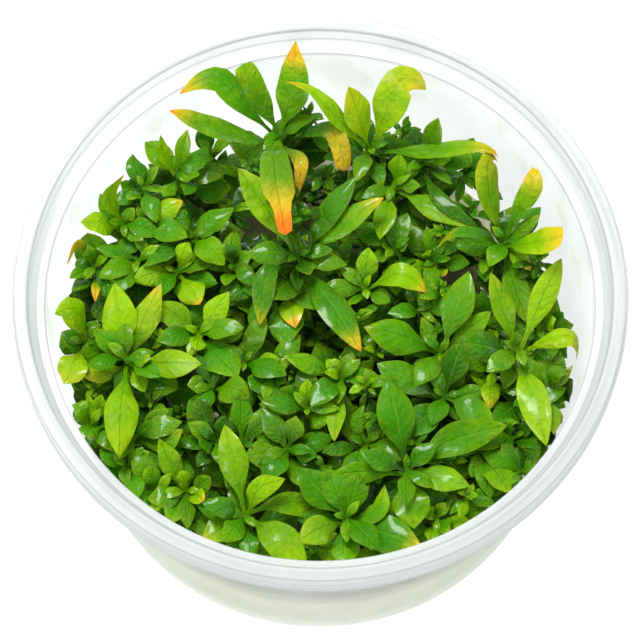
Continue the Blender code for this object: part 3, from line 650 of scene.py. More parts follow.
@dataclass(frozen=True)
class GelFinish:
    """Slightly cloudy, yellowish agar with a wet surface, dark in the middle with painted shade under the
    leaves.
    """

    pale: Colour = (0.62, 0.62, 0.40)
    # Painted shade: the gel under the leaves, away from the wall, is dark.
    shade_under_leaves: Colour = (0.10, 0.10, 0.025)
    pale_beyond: float = 37.5 * MM

    def build(self) -> bpy.types.Material:
        """Build the gel material.

        Returns:
            The material.
        """
        gel = Surface("agar_wet")
        cloud = gel.mottle(110.0, 1.6)
        wet = gel.effect(Effect.WET_PATCHES, scale=160.0, cover=0.6)
        rough_radius = gel.radius() + (cloud - 0.5) * (3.0 * MM)
        # Only a ring by the wall stays pale; further in the gel takes the painted shade.
        outer = gel.spread(rough_radius, self.pale_beyond, self.pale_beyond + 2.0 * MM)
        gel.bump(wet["Height"], 0.2 * MM)
        return gel.dress({
            "Base Color": gel.mix(outer, self.shade_under_leaves, self.pale),
            "Roughness": gel.spread(wet["Mask"], 0.0, 1.0, 0.6, 0.35),
            "Specular IOR Level": 0.12,
            "Alpha": gel.spread(cloud, 0.3, 0.7, 0.85, 0.95),
            "Subsurface Weight": 0.2,
            "Subsurface Radius": (4.0 * MM, 4.0 * MM, 3.0 * MM),
            "Subsurface Scale": 1.0,
        })


@dataclass(frozen=True)
class FloorFinish:
    """A plain pale studio floor."""

    colour: Colour = (0.93, 0.93, 0.93)
    lift: float = 0.36

    def build(self) -> bpy.types.Material:
        """Build the floor material.

        Returns:
            The material.
        """
        floor = Surface("floor_pale")
        near = tuple(0.99 * value for value in self.colour)
        return floor.dress({
            "Base Color": floor.mix(floor.mottle(3.0, 0.3), near, self.colour),
            "Roughness": 0.9,
            "Specular IOR Level": 0.1,
            "Emission Color": self.colour,
            "Emission Strength": self.lift,
        })


def turned(profile: Sequence[tuple[float, float]], sides: int) -> tuple[list[tuple], list[tuple]]:
    """Turn a closed outline round the Z axis.

    Args:
        profile: Radius and height of each point; a point on the axis becomes one vertex.
        sides: How many sides the turned shape has.

    Returns:
        The vertices and the faces.
    """
    vertices: list[tuple] = []
    rings: list[list[int]] = []
    turns = [FULL_TURN * k / sides for k in range(sides)]
    for radius, height in profile:
        start = len(vertices)
        if radius == 0.0:
            vertices.append((0.0, 0.0, height))
            rings.append([start] * sides)
            continue
        vertices.extend((radius * math.cos(turn), radius * math.sin(turn), height) for turn in turns)
        rings.append(list(range(start, start + sides)))
    faces = []
    for first, second in zip(rings, rings[1:] + rings[:1]):
        if first[0] == first[-1] and second[0] == second[-1]:
            continue
        for k in range(sides):
            after = (k + 1) % sides
            faces.append(tuple(dict.fromkeys((first[k], first[after], second[after], second[k]))))
    return vertices, faces


def add_piece(
    name: str, vertices: Iterable, faces: Iterable, materials: Sequence[bpy.types.Material], crease: float
) -> bpy.types.Object:
    """Make a mesh object with smooth faces and sharp creases.

    Args:
        name: The object's name.
        vertices: The mesh's vertices.
        faces: The mesh's faces.
        materials: Its materials.
        crease: The angle from which an edge is sharp, in degrees.

    Returns:
        The object.
    """
    mesh = bpy.data.meshes.new(name)
    mesh.from_pydata(list(vertices), [], list(faces))
    for material in materials:
        mesh.materials.append(material)
    mesh.shade_smooth()
    mesh.set_sharp_from_angle(angle=math.radians(crease))
    piece = bpy.data.objects.new(name, mesh)
    bpy.context.collection.objects.link(piece)
    return piece


def stand_for(piece: bpy.types.Object, node: str) -> None:
    """Let a piece take a solid's place on the frame.

    Args:
        piece: The piece.
        node: The solid's node.
    """
    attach(piece, BODY)
    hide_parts(node)


def arc(
    centre: tuple[float, float], radius: float, start: float, end: float, steps: int
) -> list[tuple[float, float]]:
    """Points along an arc of a profile, from a start to an end angle in degrees."""
    angles = [math.radians(start + (end - start) * k / steps) for k in range(steps + 1)]
    return [(centre[0] + radius * math.cos(angle), centre[1] + radius * math.sin(angle)) for angle in angles]


@dataclass
class Cup:
    """The frosted cup: a tapered wall, a ledge under the rim and a skirt round it."""

    finish: bpy.types.Material
    rim_radius: float = 50.0 * MM
    rim_top: float = 56.0 * MM
    skirt_height: float = 4.6 * MM
    lip_radius: float = 47.35 * MM
    ledge_radius: float = 44.9 * MM
    ledge_depth: float = 4.4 * MM
    ledge_step: float = 1.3 * MM
    base_radius: float = 41.9 * MM
    ledge_under: float = 0.4 * MM
    rim_under: float = 1.2 * MM
    rim_bevel: float = 0.7 * MM
    rim_groove: float = 0.14 * MM
    lip_bevel: float = 0.5 * MM
    skirt_edge: float = 0.3 * MM
    skirt_wave: float = 0.066 * MM
    base_corner: float = 1.5 * MM
    base_ring: float = 4.2 * MM
    base_hollow: float = 0.5 * MM
    wall: float = 0.8 * MM
    floor: float = 1.1 * MM
    sides: int = 224
    crease: float = 32.0

    def inner_radius(self, height: float) -> float:
        """Radius of the cup's inside at a height.

        Args:
            height: The height above the base.

        Returns:
            The radius.
        """
        ledge = self.rim_top - self.ledge_depth
        if height > ledge:
            lowest = self.ledge_radius + self.ledge_step
            return lowest + (self.lip_radius - lowest) * min(1.0, (height - ledge) / self.ledge_depth)
        lowest = self.base_radius - self.wall
        return lowest + (self.ledge_radius - lowest) * (height - self.floor) / (ledge - self.floor)

    def profile(self) -> list[tuple[float, float]]:
        """The wall in section, up the outside and down the inside.

        Returns:
            Radius and height of each point.
        """
        top, ledge = self.rim_top, self.rim_top - self.ledge_depth
        skirt_foot = top - self.skirt_height
        base, rim, lip = self.base_radius, self.rim_radius, self.lip_radius
        step_radius = self.ledge_radius + self.ledge_step
        corner, bevel = self.base_corner, self.rim_bevel
        ledge_round = 0.25 * MM
        return [
            (0.0, self.base_hollow),
            (base - self.base_ring - self.wall, self.base_hollow),
            (base - self.base_ring, 0.0),
            (base - corner, 0.0),
            *arc((base - corner, corner), corner, -75.0, 0.0, 6),
            (self.ledge_radius + self.wall, ledge - self.wall),
            (step_radius + self.wall, ledge - self.ledge_under),
            (lip + self.wall, top - self.rim_under),
            (rim - self.wall, top - self.rim_under),
            (rim - self.wall, skirt_foot),
            *arc((rim - 0.35 * MM, skirt_foot + self.skirt_edge), self.skirt_edge, -135.0, 0.0, 4),
            *((rim - self.skirt_wave * (k % 2), skirt_foot + (1.0 + 0.62 * k) * MM) for k in range(4)),
            *arc((rim - bevel, top - bevel), bevel, 0.0, 90.0, 7),
            (rim - 1.35 * MM, top - self.rim_groove),
            *arc((lip + 0.6 * MM, top - self.lip_bevel), self.lip_bevel, 70.0, 180.0, 6),
            *arc((step_radius + self.lip_bevel, ledge + self.lip_bevel), self.lip_bevel, 180.0, 270.0, 4)[:3],
            (step_radius, ledge),
            *arc((self.ledge_radius + ledge_round, ledge - ledge_round), ledge_round, 90.0, 180.0, 3),
            (base - self.wall + 0.1 * MM, self.floor + 1.0 * MM),
            (base - self.wall - 0.9 * MM, self.floor),
            (0.0, self.floor),
        ]

    def build(self) -> bpy.types.Object:
        """Make the cup and let it take its solid's place.

        Returns:
            The cup.
        """
        vertices, faces = turned(self.profile(), self.sides)
        piece = add_piece("frosted_cup", vertices, faces, [self.finish], self.crease)
        stand_for(piece, "cup")
        return piece


@dataclass
class Gel:
    """The layer of agar: a disc with an uneven surface that creeps up at the wall."""

    finish: bpy.types.Material
    cup: Cup
    gap: float = 0.35 * MM
    creep: float = 0.55 * MM
    wave: float = 0.35 * MM
    rings: int = 22
    sides: int = 128
    crease: float = 40.0

    def surface(self, radius: float, turn: float, edge: float, top: float) -> float:
        """Height of the gel's surface.

        Args:
            radius: Distance from the axis.
            turn: The angle round the axis.
            edge: The gel's radius at the surface.
            top: The height of its edge.

        Returns:
            The height.
        """
        share = radius / edge
        swell = math.sin(3.0 * turn + 5.0 * share) + 0.6 * math.sin(7.0 * turn - 9.0 * share + 1.0)
        dip = self.creep * (1.0 - max(0.0, (share - 0.86) / 0.14) ** 2)
        return top - dip - self.wave * (1.0 + 0.4 * swell) * min(1.0, (1.0 - share) * 8.0 + 0.15)

    def build(self) -> bpy.types.Object:
        """Make the gel and let it take its solid's place.

        Returns:
            The gel.
        """
        low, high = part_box("gel")
        foot, top = low.z, high.z
        edge = self.cup.inner_radius(top) - self.gap
        base = self.cup.inner_radius(foot) - 2.0 * self.gap
        vertices: list[tuple] = [(0.0, 0.0, self.surface(0.0, 0.0, edge, top))]
        turns = [FULL_TURN * k / self.sides for k in range(self.sides)]
        for ring in range(1, self.rings + 1):
            radius = edge * (ring / self.rings) ** 0.8
            for turn in turns:
                height = self.surface(radius, turn, edge, top)
                vertices.append((radius * math.cos(turn), radius * math.sin(turn), height))
        vertices += [(base * math.cos(turn), base * math.sin(turn), foot) for turn in turns]
        faces: list[tuple] = []
        for k in range(self.sides):
            after = (k + 1) % self.sides
            faces.append((0, 1 + k, 1 + after))
            for ring in range(self.rings):
                inner, outer = 1 + ring * self.sides, 1 + (ring + 1) * self.sides
                faces.append((inner + k, outer + k, outer + after, inner + after))
        faces.append(tuple(1 + self.rings * self.sides + k for k in reversed(range(self.sides))))
        piece = add_piece("agar_gel", vertices, faces, [self.finish], self.crease)
        stand_for(piece, "gel")
        return piece


@dataclass(frozen=True)
class LeafAxis:
    """A leaf's middle line from root to tip, with its upper side and its greatest width."""

    points: np.ndarray
    up: np.ndarray
    width: float

    def steps(self) -> np.ndarray:
        """The distances from point to point."""
        return np.linalg.norm(np.diff(self.points, axis=0), axis=1)

    def at(self, along: np.ndarray, values: np.ndarray) -> np.ndarray:
        """A smooth curve through values of the points, at shares of the line's length."""
        knots = np.concatenate([[0.0], np.cumsum(self.steps())]) / self.steps().sum()
        return through(knots, values, along)

    def samples(self) -> np.ndarray:
        """Points spread over the blade.

        Returns:
            The points, one a row.
        """
        along = np.linspace(0.2, 1.0, 8)
        middle = self.at(along, self.points)
        side = np.cross(self.points[-1] - self.points[0], self.up[1])
        offset = unit(side) * self.width * 0.36 * np.sin(np.pi * along)[:, None]
        return np.vstack([middle, middle + offset, middle - offset])

    def room(self, crowd: KDTree) -> float:
        """How far the outer half of a line of three points stays from other leaves."""
        spots = ((self.points[1] + self.points[2]) / 2.0, self.points[2], self.points[1])
        return min(crowd.find(spot)[2] for spot in spots)


@dataclass(frozen=True)
class Shoot:
    """A side shoot: the middle of its rosette and the length of its longest leaves."""

    top: np.ndarray
    reach: float


class SolidReader:
    """Reads a plantlet's leaves and stem back from its solid in the frame."""

    WELD = 0.005 * MM
    CORNERS = 4
    # The widest cross-section's share of the leaf's width, by the number of cross-sections
    FULLEST = {1: 1.0, 2: 0.91, 3: 0.99, 4: 0.98}

    def __init__(self, node: str) -> None:
        """Weld the solid's corners and find each corner's neighbours.

        Args:
            node: The plantlet's node.
        """
        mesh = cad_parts[node].data
        known: dict[tuple[int, ...], int] = {}
        self.points: list[Vector] = []
        same: list[int] = []
        for vertex in mesh.vertices:
            key = tuple(round(value / self.WELD) for value in vertex.co)
            if key not in known:
                known[key] = len(self.points)
                self.points.append(vertex.co.copy())
            same.append(known[key])
        self.near: list[set[int]] = [set() for _ in self.points]
        for polygon in mesh.polygons:
            corners = [same[index] for index in polygon.vertices]
            for corner in corners:
                self.near[corner].update(other for other in corners if other != corner)

    def rings(self, tip: int) -> list[set[int]]:
        """Walk from a leaf's tip to its seat on the stem.

        Args:
            tip: The corner at the tip.

        Returns:
            The corners of each cross-section, from the tip's to the seat's.
        """
        seen = {tip}
        ring = set(self.near[tip])
        found = [ring]
        while True:
            seen |= ring
            ring = set().union(*(self.near[corner] for corner in ring)) - seen
            if len(ring) != self.CORNERS:
                return found
            found.append(ring)

    def section(self, ring: set[int]) -> tuple[Vector, Vector, float]:
        """Measure a leaf's cross-section.

        Args:
            ring: Its four corners.

        Returns:
            Its centre, its upper side's direction and its width.
        """
        corners = sorted(ring)
        first = corners[0]
        facing = next(corner for corner in corners[1:] if corner not in self.near[first])
        others = [corner for corner in corners if corner not in (first, facing)]
        pairs = [(self.points[first], self.points[facing]), tuple(self.points[corner] for corner in others)]
        thick, wide = sorted(pairs, key=lambda pair: (pair[0] - pair[1]).length)
        centre = (thick[0] + thick[1]) / 2.0
        up = ((wide[0] + wide[1]) / 2.0 - centre).normalized()
        return centre, up, (wide[0] - wide[1]).length

    def leaves(self) -> list[LeafAxis]:
        """Read every leaf of the solid.

        Returns:
            The leaves' middle lines.
        """
        found = []
        tips = [corner for corner in range(len(self.points)) if len(self.near[corner]) == self.CORNERS]
        for tip in tips:
            rings = self.rings(tip)
            if len(rings) < 2:
                continue
            sections = [self.section(ring) for ring in reversed(rings[:-1])]
            root = sum((self.points[corner] for corner in rings[-1]), Vector()) / self.CORNERS
            points = [root] + [centre for centre, _, _ in sections] + [self.points[tip]]
            ups = [sections[0][1]] + [up for _, up, _ in sections] + [sections[-1][1]]
            width = max(wide for _, _, wide in sections) / self.FULLEST[len(sections)]
            found.append(LeafAxis(np.array(points), np.array(ups), width))
        return found

    def stem(self) -> tuple[np.ndarray, np.ndarray]:
        """Read the stem's line.

        Returns:
            The middle of its foot and its bud's tip.
        """
        lowest = min(point.z for point in self.points)
        foot = [point for point in self.points if point.z < lowest + self.WELD]
        middle = sum(foot, Vector()) / len(foot)
        buds = [
            self.points[corner] for corner in range(len(self.points))
            if len(self.near[corner]) == self.CORNERS and len(self.rings(corner)) < 2
        ]
        bud = max(buds, key=lambda point: point.z)
        return np.array(middle), np.array(bud)


def through(knots: np.ndarray, values: np.ndarray, at: np.ndarray) -> np.ndarray:
    """A smooth curve through given values.

    Args:
        knots: The place of each value, rising.
        values: The values, one row for each knot.
        at: The places to read.

    Returns:
        The curve's values, one row for each place.
    """
    spans = np.diff(knots)[:, None]
    rise = np.diff(values, axis=0) / spans
    slopes = np.vstack([rise[:1], (values[2:] - values[:-2]) / (knots[2:] - knots[:-2])[:, None], rise[-1:]])
    index = np.clip(np.searchsorted(knots, at, side="right") - 1, 0, len(knots) - 2)
    span = spans[index]
    t = ((at - knots[index]) / span[:, 0])[:, None]
    start, end = values[index], values[index + 1]
    leave, arrive = slopes[index] * span, slopes[index + 1] * span
    return (
        (2 * t**3 - 3 * t**2 + 1) * start + (t**3 - 2 * t**2 + t) * leave
        + (-2 * t**3 + 3 * t**2) * end + (t**3 - t**2) * arrive
    )


def unit(vectors: np.ndarray) -> np.ndarray:
    """Scale vectors to a length of one."""
    return vectors / np.maximum(np.linalg.norm(vectors, axis=-1, keepdims=True), 1e-12)


def read(points: np.ndarray) -> np.ndarray:
    """Where points are seen from EYE on the reading level, as x and y, one a row."""
    share = (EYE[2] - READ_LEVEL) / (EYE[2] - points[:, 2])
    return (EYE + (points - EYE) * share[:, None])[:, :2]


@dataclass
class Canopy:
    """The leaf carpet as it is seen from EYE, in which side shoots fill the widest gaps."""

    edge: float
    rng: np.random.Generator
    pitch: float = 0.8 * MM
    narrowest: float = 1.4 * MM
    back_gap: float = 5.5 * MM
    most: int = 190
    depth: tuple[float, float] = (0.5 * MM, 3.5 * MM)
    overlap: tuple[float, float] = (1.5, 2.2)
    reaches: tuple[float, float] = (4.2 * MM, 7.5 * MM)
    rosette_rings: tuple[float, ...] = (0.0, 0.35, 0.7)
    lowest: float = 34.0 * MM

    def __post_init__(self) -> None:
        """Lay a grid of places over the cup's mouth."""
        line = np.arange(-self.edge, self.edge, self.pitch)
        grid = np.stack(np.meshgrid(line, line), axis=-1).reshape(-1, 2)
        edge = self.edge - self.back_gap * np.clip(grid[:, 1] / self.edge + 0.5, 0.0, 1.0)
        self.grid = grid[np.linalg.norm(grid, axis=1) < edge]
        self.gaps = np.full(len(self.grid), 1.0)
        self.heights = np.zeros(len(self.grid))

    def cover(self, points: np.ndarray) -> None:
        """Note that leaves cover these points.

        Args:
            points: Points on leaves, one a row.
        """
        for place, point in zip(read(points), points):
            distance = np.linalg.norm(self.grid - place, axis=1)
            nearer = distance < self.gaps
            self.gaps[nearer] = distance[nearer]
            self.heights[nearer] = point[2]

    def plan(self) -> list[Shoot]:
        """Place side shoots in the gaps, the widest first.

        Returns:
            The shoots.
        """
        shoots: list[Shoot] = []
        ring = np.linspace(0.0, FULL_TURN, 9)[:-1]
        disc = np.stack([np.cos(ring), np.sin(ring), np.zeros_like(ring)], axis=1)
        while len(shoots) < self.most:
            widest = int(np.argmax(self.gaps))
            gap = float(self.gaps[widest])
            if gap < self.narrowest:
                break
            reach = float(np.clip(gap * self.rng.uniform(*self.overlap), *self.reaches))
            height = max(self.lowest, self.heights[widest] - self.rng.uniform(*self.depth) - 0.15 * gap)
            sight = np.append(self.grid[widest], READ_LEVEL) - EYE
            top = EYE + sight * (EYE[2] - height) / (EYE[2] - READ_LEVEL)
            shoots.append(Shoot(top, reach))
            for share in self.rosette_rings:
                self.cover(top + disc * reach * share)
        return shoots


def tube_faces(rings: int, sides: int) -> list[tuple]:
    """The faces of a tube that is closed at its foot.

    Args:
        rings: How many rings of vertices it has.
        sides: How many vertices a ring has.

    Returns:
        The faces.
    """
    faces: list[tuple] = [tuple(reversed(range(sides)))]
    for low in range(0, (rings - 1) * sides, sides):
        for k in range(sides):
            after = (k + 1) % sides
            faces.append((low + k, low + after, low + sides + after, low + sides + k))
    return faces


@dataclass
class Growth:
    """The vertices, faces and leaf attributes of one plantlet, as they are made."""

    points: list[np.ndarray] = field(default_factory=list)
    places: list[np.ndarray] = field(default_factory=list)
    # Yellow, orange and lightness of each vertex; the lightness also holds painted shade and painted light.
    ages: list[np.ndarray] = field(default_factory=list)
    faces: list[tuple] = field(default_factory=list)
    finishes: list[int] = field(default_factory=list)
    count: int = 0

    def add(
        self, points: np.ndarray, places: np.ndarray, ages: np.ndarray, faces: list[tuple], finish: int
    ) -> None:
        """Add a leaf or the stem.

        Args:
            points: Its vertices.
            places: Each vertex's place across and along the leaf.
            ages: Each vertex's yellow, orange and light.
            faces: Its faces, counted from its own first vertex.
            finish: The number of its material.
        """
        start = self.count
        self.points.append(points)
        self.places.append(places)
        self.ages.append(ages)
        self.faces.extend(tuple(start + corner for corner in face) for face in faces)
        self.finishes.extend([finish] * len(faces))
        self.count += len(points)


@dataclass(frozen=True)
class Blade:
    """The form of a leaf blade round its middle line."""

    across: int = 6
    along: int = 12
    thickness: float = 0.16 * MM
    petiole: float = 0.42 * MM
    petiole_thickness: float = 0.7 * MM
    rib: float = 0.14 * MM
    fold: float = 0.14
    droop: float = 0.14
    wave: float = 0.16
    skew: float = 1.15
    fullness: float = 0.92
    neck: float = 0.4
    blunt_reach: float = 0.8
    blunt_tip: float = 0.35
    twist: float = 24.0
    pale_tip: float = 0.34
    light_tip: float = 0.55

    def outline(self, along: np.ndarray, ageing: Ageing) -> np.ndarray:
        """How much of its full width the blade has.

        Args:
            along: Places from root (0) to tip (1).
            ageing: How the leaf has aged: a blunt tip is cut square, and a pinched end is narrow.

        Returns:
            The share of the width at each place.
        """
        reach = self.blunt_reach if ageing.blunt else 1.0
        narrow = np.clip(along / self.neck, 0.0, 1.0)
        narrow = (narrow * narrow * (3.0 - 2.0 * narrow)) ** 0.7
        shape = narrow * np.sin(np.pi * np.clip(along * reach, 0.0, 1.0) ** self.skew) ** self.fullness
        if ageing.blunt:
            shape = shape * np.clip((1.0 - along) * 14.0, 0.0, 1.0) ** 0.4
        return shape * (1.0 - ageing.pinch * np.clip((along - 0.72) * 12.0, 0.0, 1.0))

    def faces(self) -> list[tuple]:
        """The faces of a blade, from the cap in the stem to the tip.

        Returns:
            The faces.
        """
        loop = 2 * self.across
        last, tip = (self.along - 1) * loop, self.along * loop
        fan = [(last + k, last + (k + 1) % loop, tip) for k in range(loop)]
        return tube_faces(self.along, loop) + fan

    def grow(
        self, growth: Growth, axis: LeafAxis, ageing: Ageing, light: float, rng: np.random.Generator
    ) -> None:
        """Grow the blade round its middle line.

        Args:
            growth: The plantlet's growth that it is added to.
            axis: The leaf's middle line.
            ageing: Its colours from root to tip.
            light: How light its green is, from 0 to 1, with painted shade and painted light in it.
            rng: The plantlet's random numbers.
        """
        along = np.linspace(0.0, 1.0, self.along + 1)
        s = along[:, None]
        centre = axis.at(along, axis.points)
        heading = unit(np.gradient(centre, along, axis=0))
        up = axis.at(along, axis.up)
        up = unit(up - heading * np.sum(up * heading, axis=1, keepdims=True))
        side = np.cross(heading, up)
        twist = np.radians(rng.uniform(-self.twist, self.twist)) * s
        side, up = side * np.cos(twist) + up * np.sin(twist), up * np.cos(twist) - side * np.sin(twist)
        half = 0.5 * axis.width * self.outline(along, ageing)
        half = np.maximum(half, self.petiole * (1.0 - along))[:, None]
        row = np.linspace(-1.0, 1.0, self.across + 1)
        row = np.sign(row) * np.abs(row) ** 0.85
        u = np.concatenate([row, row[-2:0:-1]])[None, :]
        face = np.concatenate([np.ones(self.across + 1), -np.ones(self.across - 1)])[None, :]
        face = np.where(np.abs(u) > 0.999, 0.0, face)
        waves = np.sin(FULL_TURN * (rng.uniform(0.8, 1.8) * s + rng.uniform() + 0.25 * (u > 0)))
        waves = waves + 0.5 * np.sin(FULL_TURN * (rng.uniform(2.2, 3.6) * s + rng.uniform() + 0.4 * (u > 0)))
        fold = self.fold + rng.uniform(-0.12, 0.14)
        droop = self.droop + rng.uniform(-0.1, 0.22)
        lift = half * (fold * (np.sqrt(u**2 + 0.02) - 0.1414) - droop * u**2 + self.wave * u**2 * waves)
        root = np.exp(-((s / 0.09) ** 2))
        thick = (self.thickness + (self.petiole_thickness - self.thickness) * root) * (1.0 - 0.6 * np.abs(u))
        rib = self.rib * np.exp(-((u / 0.16) ** 2)) * (1.0 - s)
        lift = lift + face * 0.5 * thick - rib * (face < 0)
        points = centre[:, None] + side[:, None] * (u * half)[..., None] + up[:, None] * lift[..., None]
        rings = points[:-1].reshape(-1, 3)
        tip = centre[-2:-1] + (self.blunt_tip if ageing.blunt else 1.0) * (centre[-1:] - centre[-2:-1])
        places = np.stack(np.broadcast_arrays(u, s, np.full_like(s, rng.uniform())), axis=-1)
        places = places[:-1].reshape(-1, 3)
        pale_tip = rng.uniform(0.0, self.pale_tip) * np.clip((along - 0.5) * 2.0, 0.0, 1.0) ** 1.5
        yellow = np.maximum(np.interp(along, *zip(*ageing.yellow)), pale_tip)
        orange = np.interp(along, *zip(*ageing.orange))
        shade = light + ageing.light + rng.uniform(0.0, self.light_tip) * (along - 0.45)
        ages = np.stack([yellow, orange, shade], axis=-1)
        ring_ages = np.repeat(ages[:-1], 2 * self.across, axis=0)
        growth.add(
            np.vstack([rings, tip]),
            np.vstack([places, [[0.0, 1.0, places[0, 2]]]]),
            np.vstack([ring_ages, ages[-1:]]),
            self.faces(),
            0,
        )


@dataclass
class Plantlet:
    """One plantlet: its stem, the leaves of its solid, a bud and lower leaves between them."""

    # The levels of a side shoot: how many leaves, their share of its reach, and how far they rise
    SHOOT_LEVELS = ((2, 0.6, 50.0), (3, 0.9, 30.0), (3, 1.05, 12.0), (2, 1.1, 0.0))

    node: str
    cup: Cup
    materials: tuple[bpy.types.Material, bpy.types.Material]
    ceiling: float
    shoots: list[Shoot] = field(default_factory=list)
    looks: dict[int, LeafLook] = field(default_factory=dict)
    stem_radius: float = 0.8 * MM
    stem_sides: int = 8
    stem_rings: int = 14
    level_drop: float = 2.1 * MM
    top_drop: float = 1.6 * MM
    wall_gap: float = 0.6 * MM
    # Leaves whose tips pass this height get a lighter green: painted light shining through them.
    backlit_from: float = 48.0 * MM
    # Plantlets further left than this get a lighter green over the next span: painted light from the left.
    left_light_from: float = 14.0 * MM
    left_light_over: float = 14.0 * MM
    widened: float = 1.13
    fine_from: float = 9.0 * MM
    arch: float = 35.0
    tries: int = 7
    crease: float = 62.0
    eased: float = 0.8 * MM

    def __post_init__(self) -> None:
        """Read the solid and seed the plantlet's random numbers."""
        self.rng = np.random.default_rng(zlib.crc32(self.node.encode()))
        reader = SolidReader(self.node)
        self.leaves = reader.leaves()
        self.foot, self.bud = reader.stem()
        self.growth = Growth()

    def grow_blade(
        self, blade: Blade, axis: LeafAxis, light: float, look: LeafLook = LeafLook.GREEN
    ) -> None:
        """Grow one blade with this plantlet's random numbers."""
        blade.grow(self.growth, axis, look.value, light, self.rng)

    def grow_leaves(self) -> float:
        """Grow the leaves of the solid.

        Returns:
            How light the plantlet's green is.
        """
        # Painted light: plantlets on the left get a lighter green.
        leftward = (-self.bud[0] - self.left_light_from) / self.left_light_over
        base = self.rng.uniform(0.3, 0.66) + 0.2 * min(1.0, max(0.0, leftward))
        for number, leaf in enumerate(self.leaves):
            look = self.looks.get(number, LeafLook.GREEN)
            # Painted shade: leaves whose roots sit lower than the bud get a darker green.
            below = (self.bud[2] - leaf.points[0, 2]) / (8.0 * MM)
            light = base + self.rng.uniform(-0.22, 0.26) - 0.25 * below
            # Painted light: tall leaves are lighter, as if lit through from behind.
            light += 0.2 * min(1.0, max(0.0, (leaf.points[-1, 2] - self.backlit_from) / (5.0 * MM)))
            fine = leaf.steps().sum() > self.fine_from
            blade = Blade(
                across=8 if fine else 6,
                along=18 if fine else 12,
                skew=self.rng.uniform(1.08, 1.34),
                fullness=self.rng.uniform(0.82, 1.05),
                neck=self.rng.uniform(0.38, 0.62),
            )
            wide = LeafAxis(leaf.points, leaf.up, leaf.width * self.widened)
            self.grow_blade(blade, wide, light, look)
        return base

    def stem_point(self, height: float) -> np.ndarray:
        """The stem's middle at a height above the base."""
        share = (height - self.foot[2]) / (self.bud[2] - self.foot[2])
        return self.foot + (self.bud - self.foot) * share

    def side_leaf(self, root: np.ndarray, turn: float, length: float, width: float, rise: float) -> LeafAxis:
        """A leaf that leaves a stem, arches and ends inside the cup.

        Args:
            root: Where it leaves the stem.
            turn: Its direction seen from above.
            length: Its length.
            width: Its width.
            rise: How steeply it rises, in degrees.

        Returns:
            Its middle line.
        """
        level = np.array((math.cos(turn), math.sin(turn), 0.0))
        line = [root]
        for climb in (math.radians(rise), math.radians(rise - self.arch)):
            line.append(line[-1] + (level * math.cos(climb) + UP * math.sin(climb)) * length * 0.5)
        points = np.array(line)
        limit = self.cup.inner_radius(float(points[2, 2])) - self.wall_gap - 0.3 * width
        reach = np.linalg.norm(points[:, :2], axis=1)
        pull = np.minimum(1.0, limit / np.maximum(reach, 1e-9))
        points[:, :2] *= pull[:, None]
        return LeafAxis(points, unit(np.array([UP] * 3) - 0.3 * level), width)

    def grow_low_leaves(self, crowd: KDTree) -> None:
        """Fill the space round the stem with smaller leaves, from the crown down to the gel.

        Args:
            crowd: Points on the leaves of all the solids, which these keep away from.
        """
        height = self.bud[2] - self.top_drop
        turn = self.rng.uniform(0.0, FULL_TURN)
        level = 0
        while height > self.foot[2] + 3.0 * MM:
            for _ in range(2):
                turn += GOLDEN_ANGLE
                length = self.rng.uniform(6.0, 9.5) * MM
                width = length * self.rng.uniform(0.38, 0.52)
                rise = max(2.0, 34.0 - 7.0 * level) + self.rng.uniform(-8.0, 8.0)
                choices = [
                    self.side_leaf(self.stem_point(height), turn + shift, length, width, rise)
                    for shift in np.linspace(-1.2, 1.2, self.tries)
                ]
                axis = max(choices, key=lambda choice: choice.room(crowd))
                # Painted shade: each lower level of leaves gets a darker green.
                light = max(0.0, 0.42 - 0.07 * level) + self.rng.uniform(-0.1, 0.1)
                small = Blade(across=4, along=8) if level > 3 else Blade(across=6, along=10)
                self.grow_blade(small, axis, light)
            height -= self.level_drop
            level += 1

    def grow_bud(self, top: np.ndarray, size: float, base: float) -> None:
        """Grow the small upright leaves at a crown's middle.

        Args:
            top: The crown's middle.
            size: The length of the longest of them.
            base: How light the plantlet's green is.
        """
        turn = self.rng.uniform(0.0, FULL_TURN)
        for number in range(self.rng.integers(2, 4)):
            turn += GOLDEN_ANGLE
            length = size * (1.0 - 0.15 * number) * self.rng.uniform(0.7, 1.4)
            axis = self.side_leaf(top, turn, length, 0.4 * length, 35.0 + 14.0 * number)
            light = base + 0.02 * number + self.rng.uniform(-0.1, 0.1)
            self.grow_blade(Blade(across=4, along=8, neck=0.2), axis, light)

    def grow_tube(self, line: np.ndarray, radius: float) -> None:
        """Grow a round stem that narrows upwards and swells a little at its joints.

        Args:
            line: Its middle line, from its foot.
            radius: Its radius at the foot.
        """
        sides, last = self.stem_sides, len(line) - 1
        turns = FULL_TURN * np.arange(sides) / sides
        circle = np.stack([np.cos(turns), np.sin(turns), np.zeros_like(turns)], axis=1)
        share = np.arange(len(line)) / last
        radii = radius * (1.0 - 0.3 * share) * (1.0 + 0.14 * (np.arange(len(line)) % 2))
        radii[last] *= 0.35
        points = (line[:, None, :] + circle * radii[:, None, None]).reshape(-1, 3)
        faces = [*tube_faces(last + 1, sides), tuple(last * sides + k for k in range(sides))]
        blank = np.zeros_like(points)
        self.growth.add(points, blank, blank, faces, 1)

    def grow_stem(self) -> None:
        """Grow the main stem, a little bowed."""
        share = np.linspace(0.0, 1.0, self.stem_rings)[:, None]
        sway = np.append(self.rng.uniform(-0.35, 0.35, 2) * MM, 0.0)
        line = self.foot + (self.bud - self.foot) * share * 0.93 + sway * np.sin(np.pi * share)
        self.grow_tube(line, self.stem_radius)

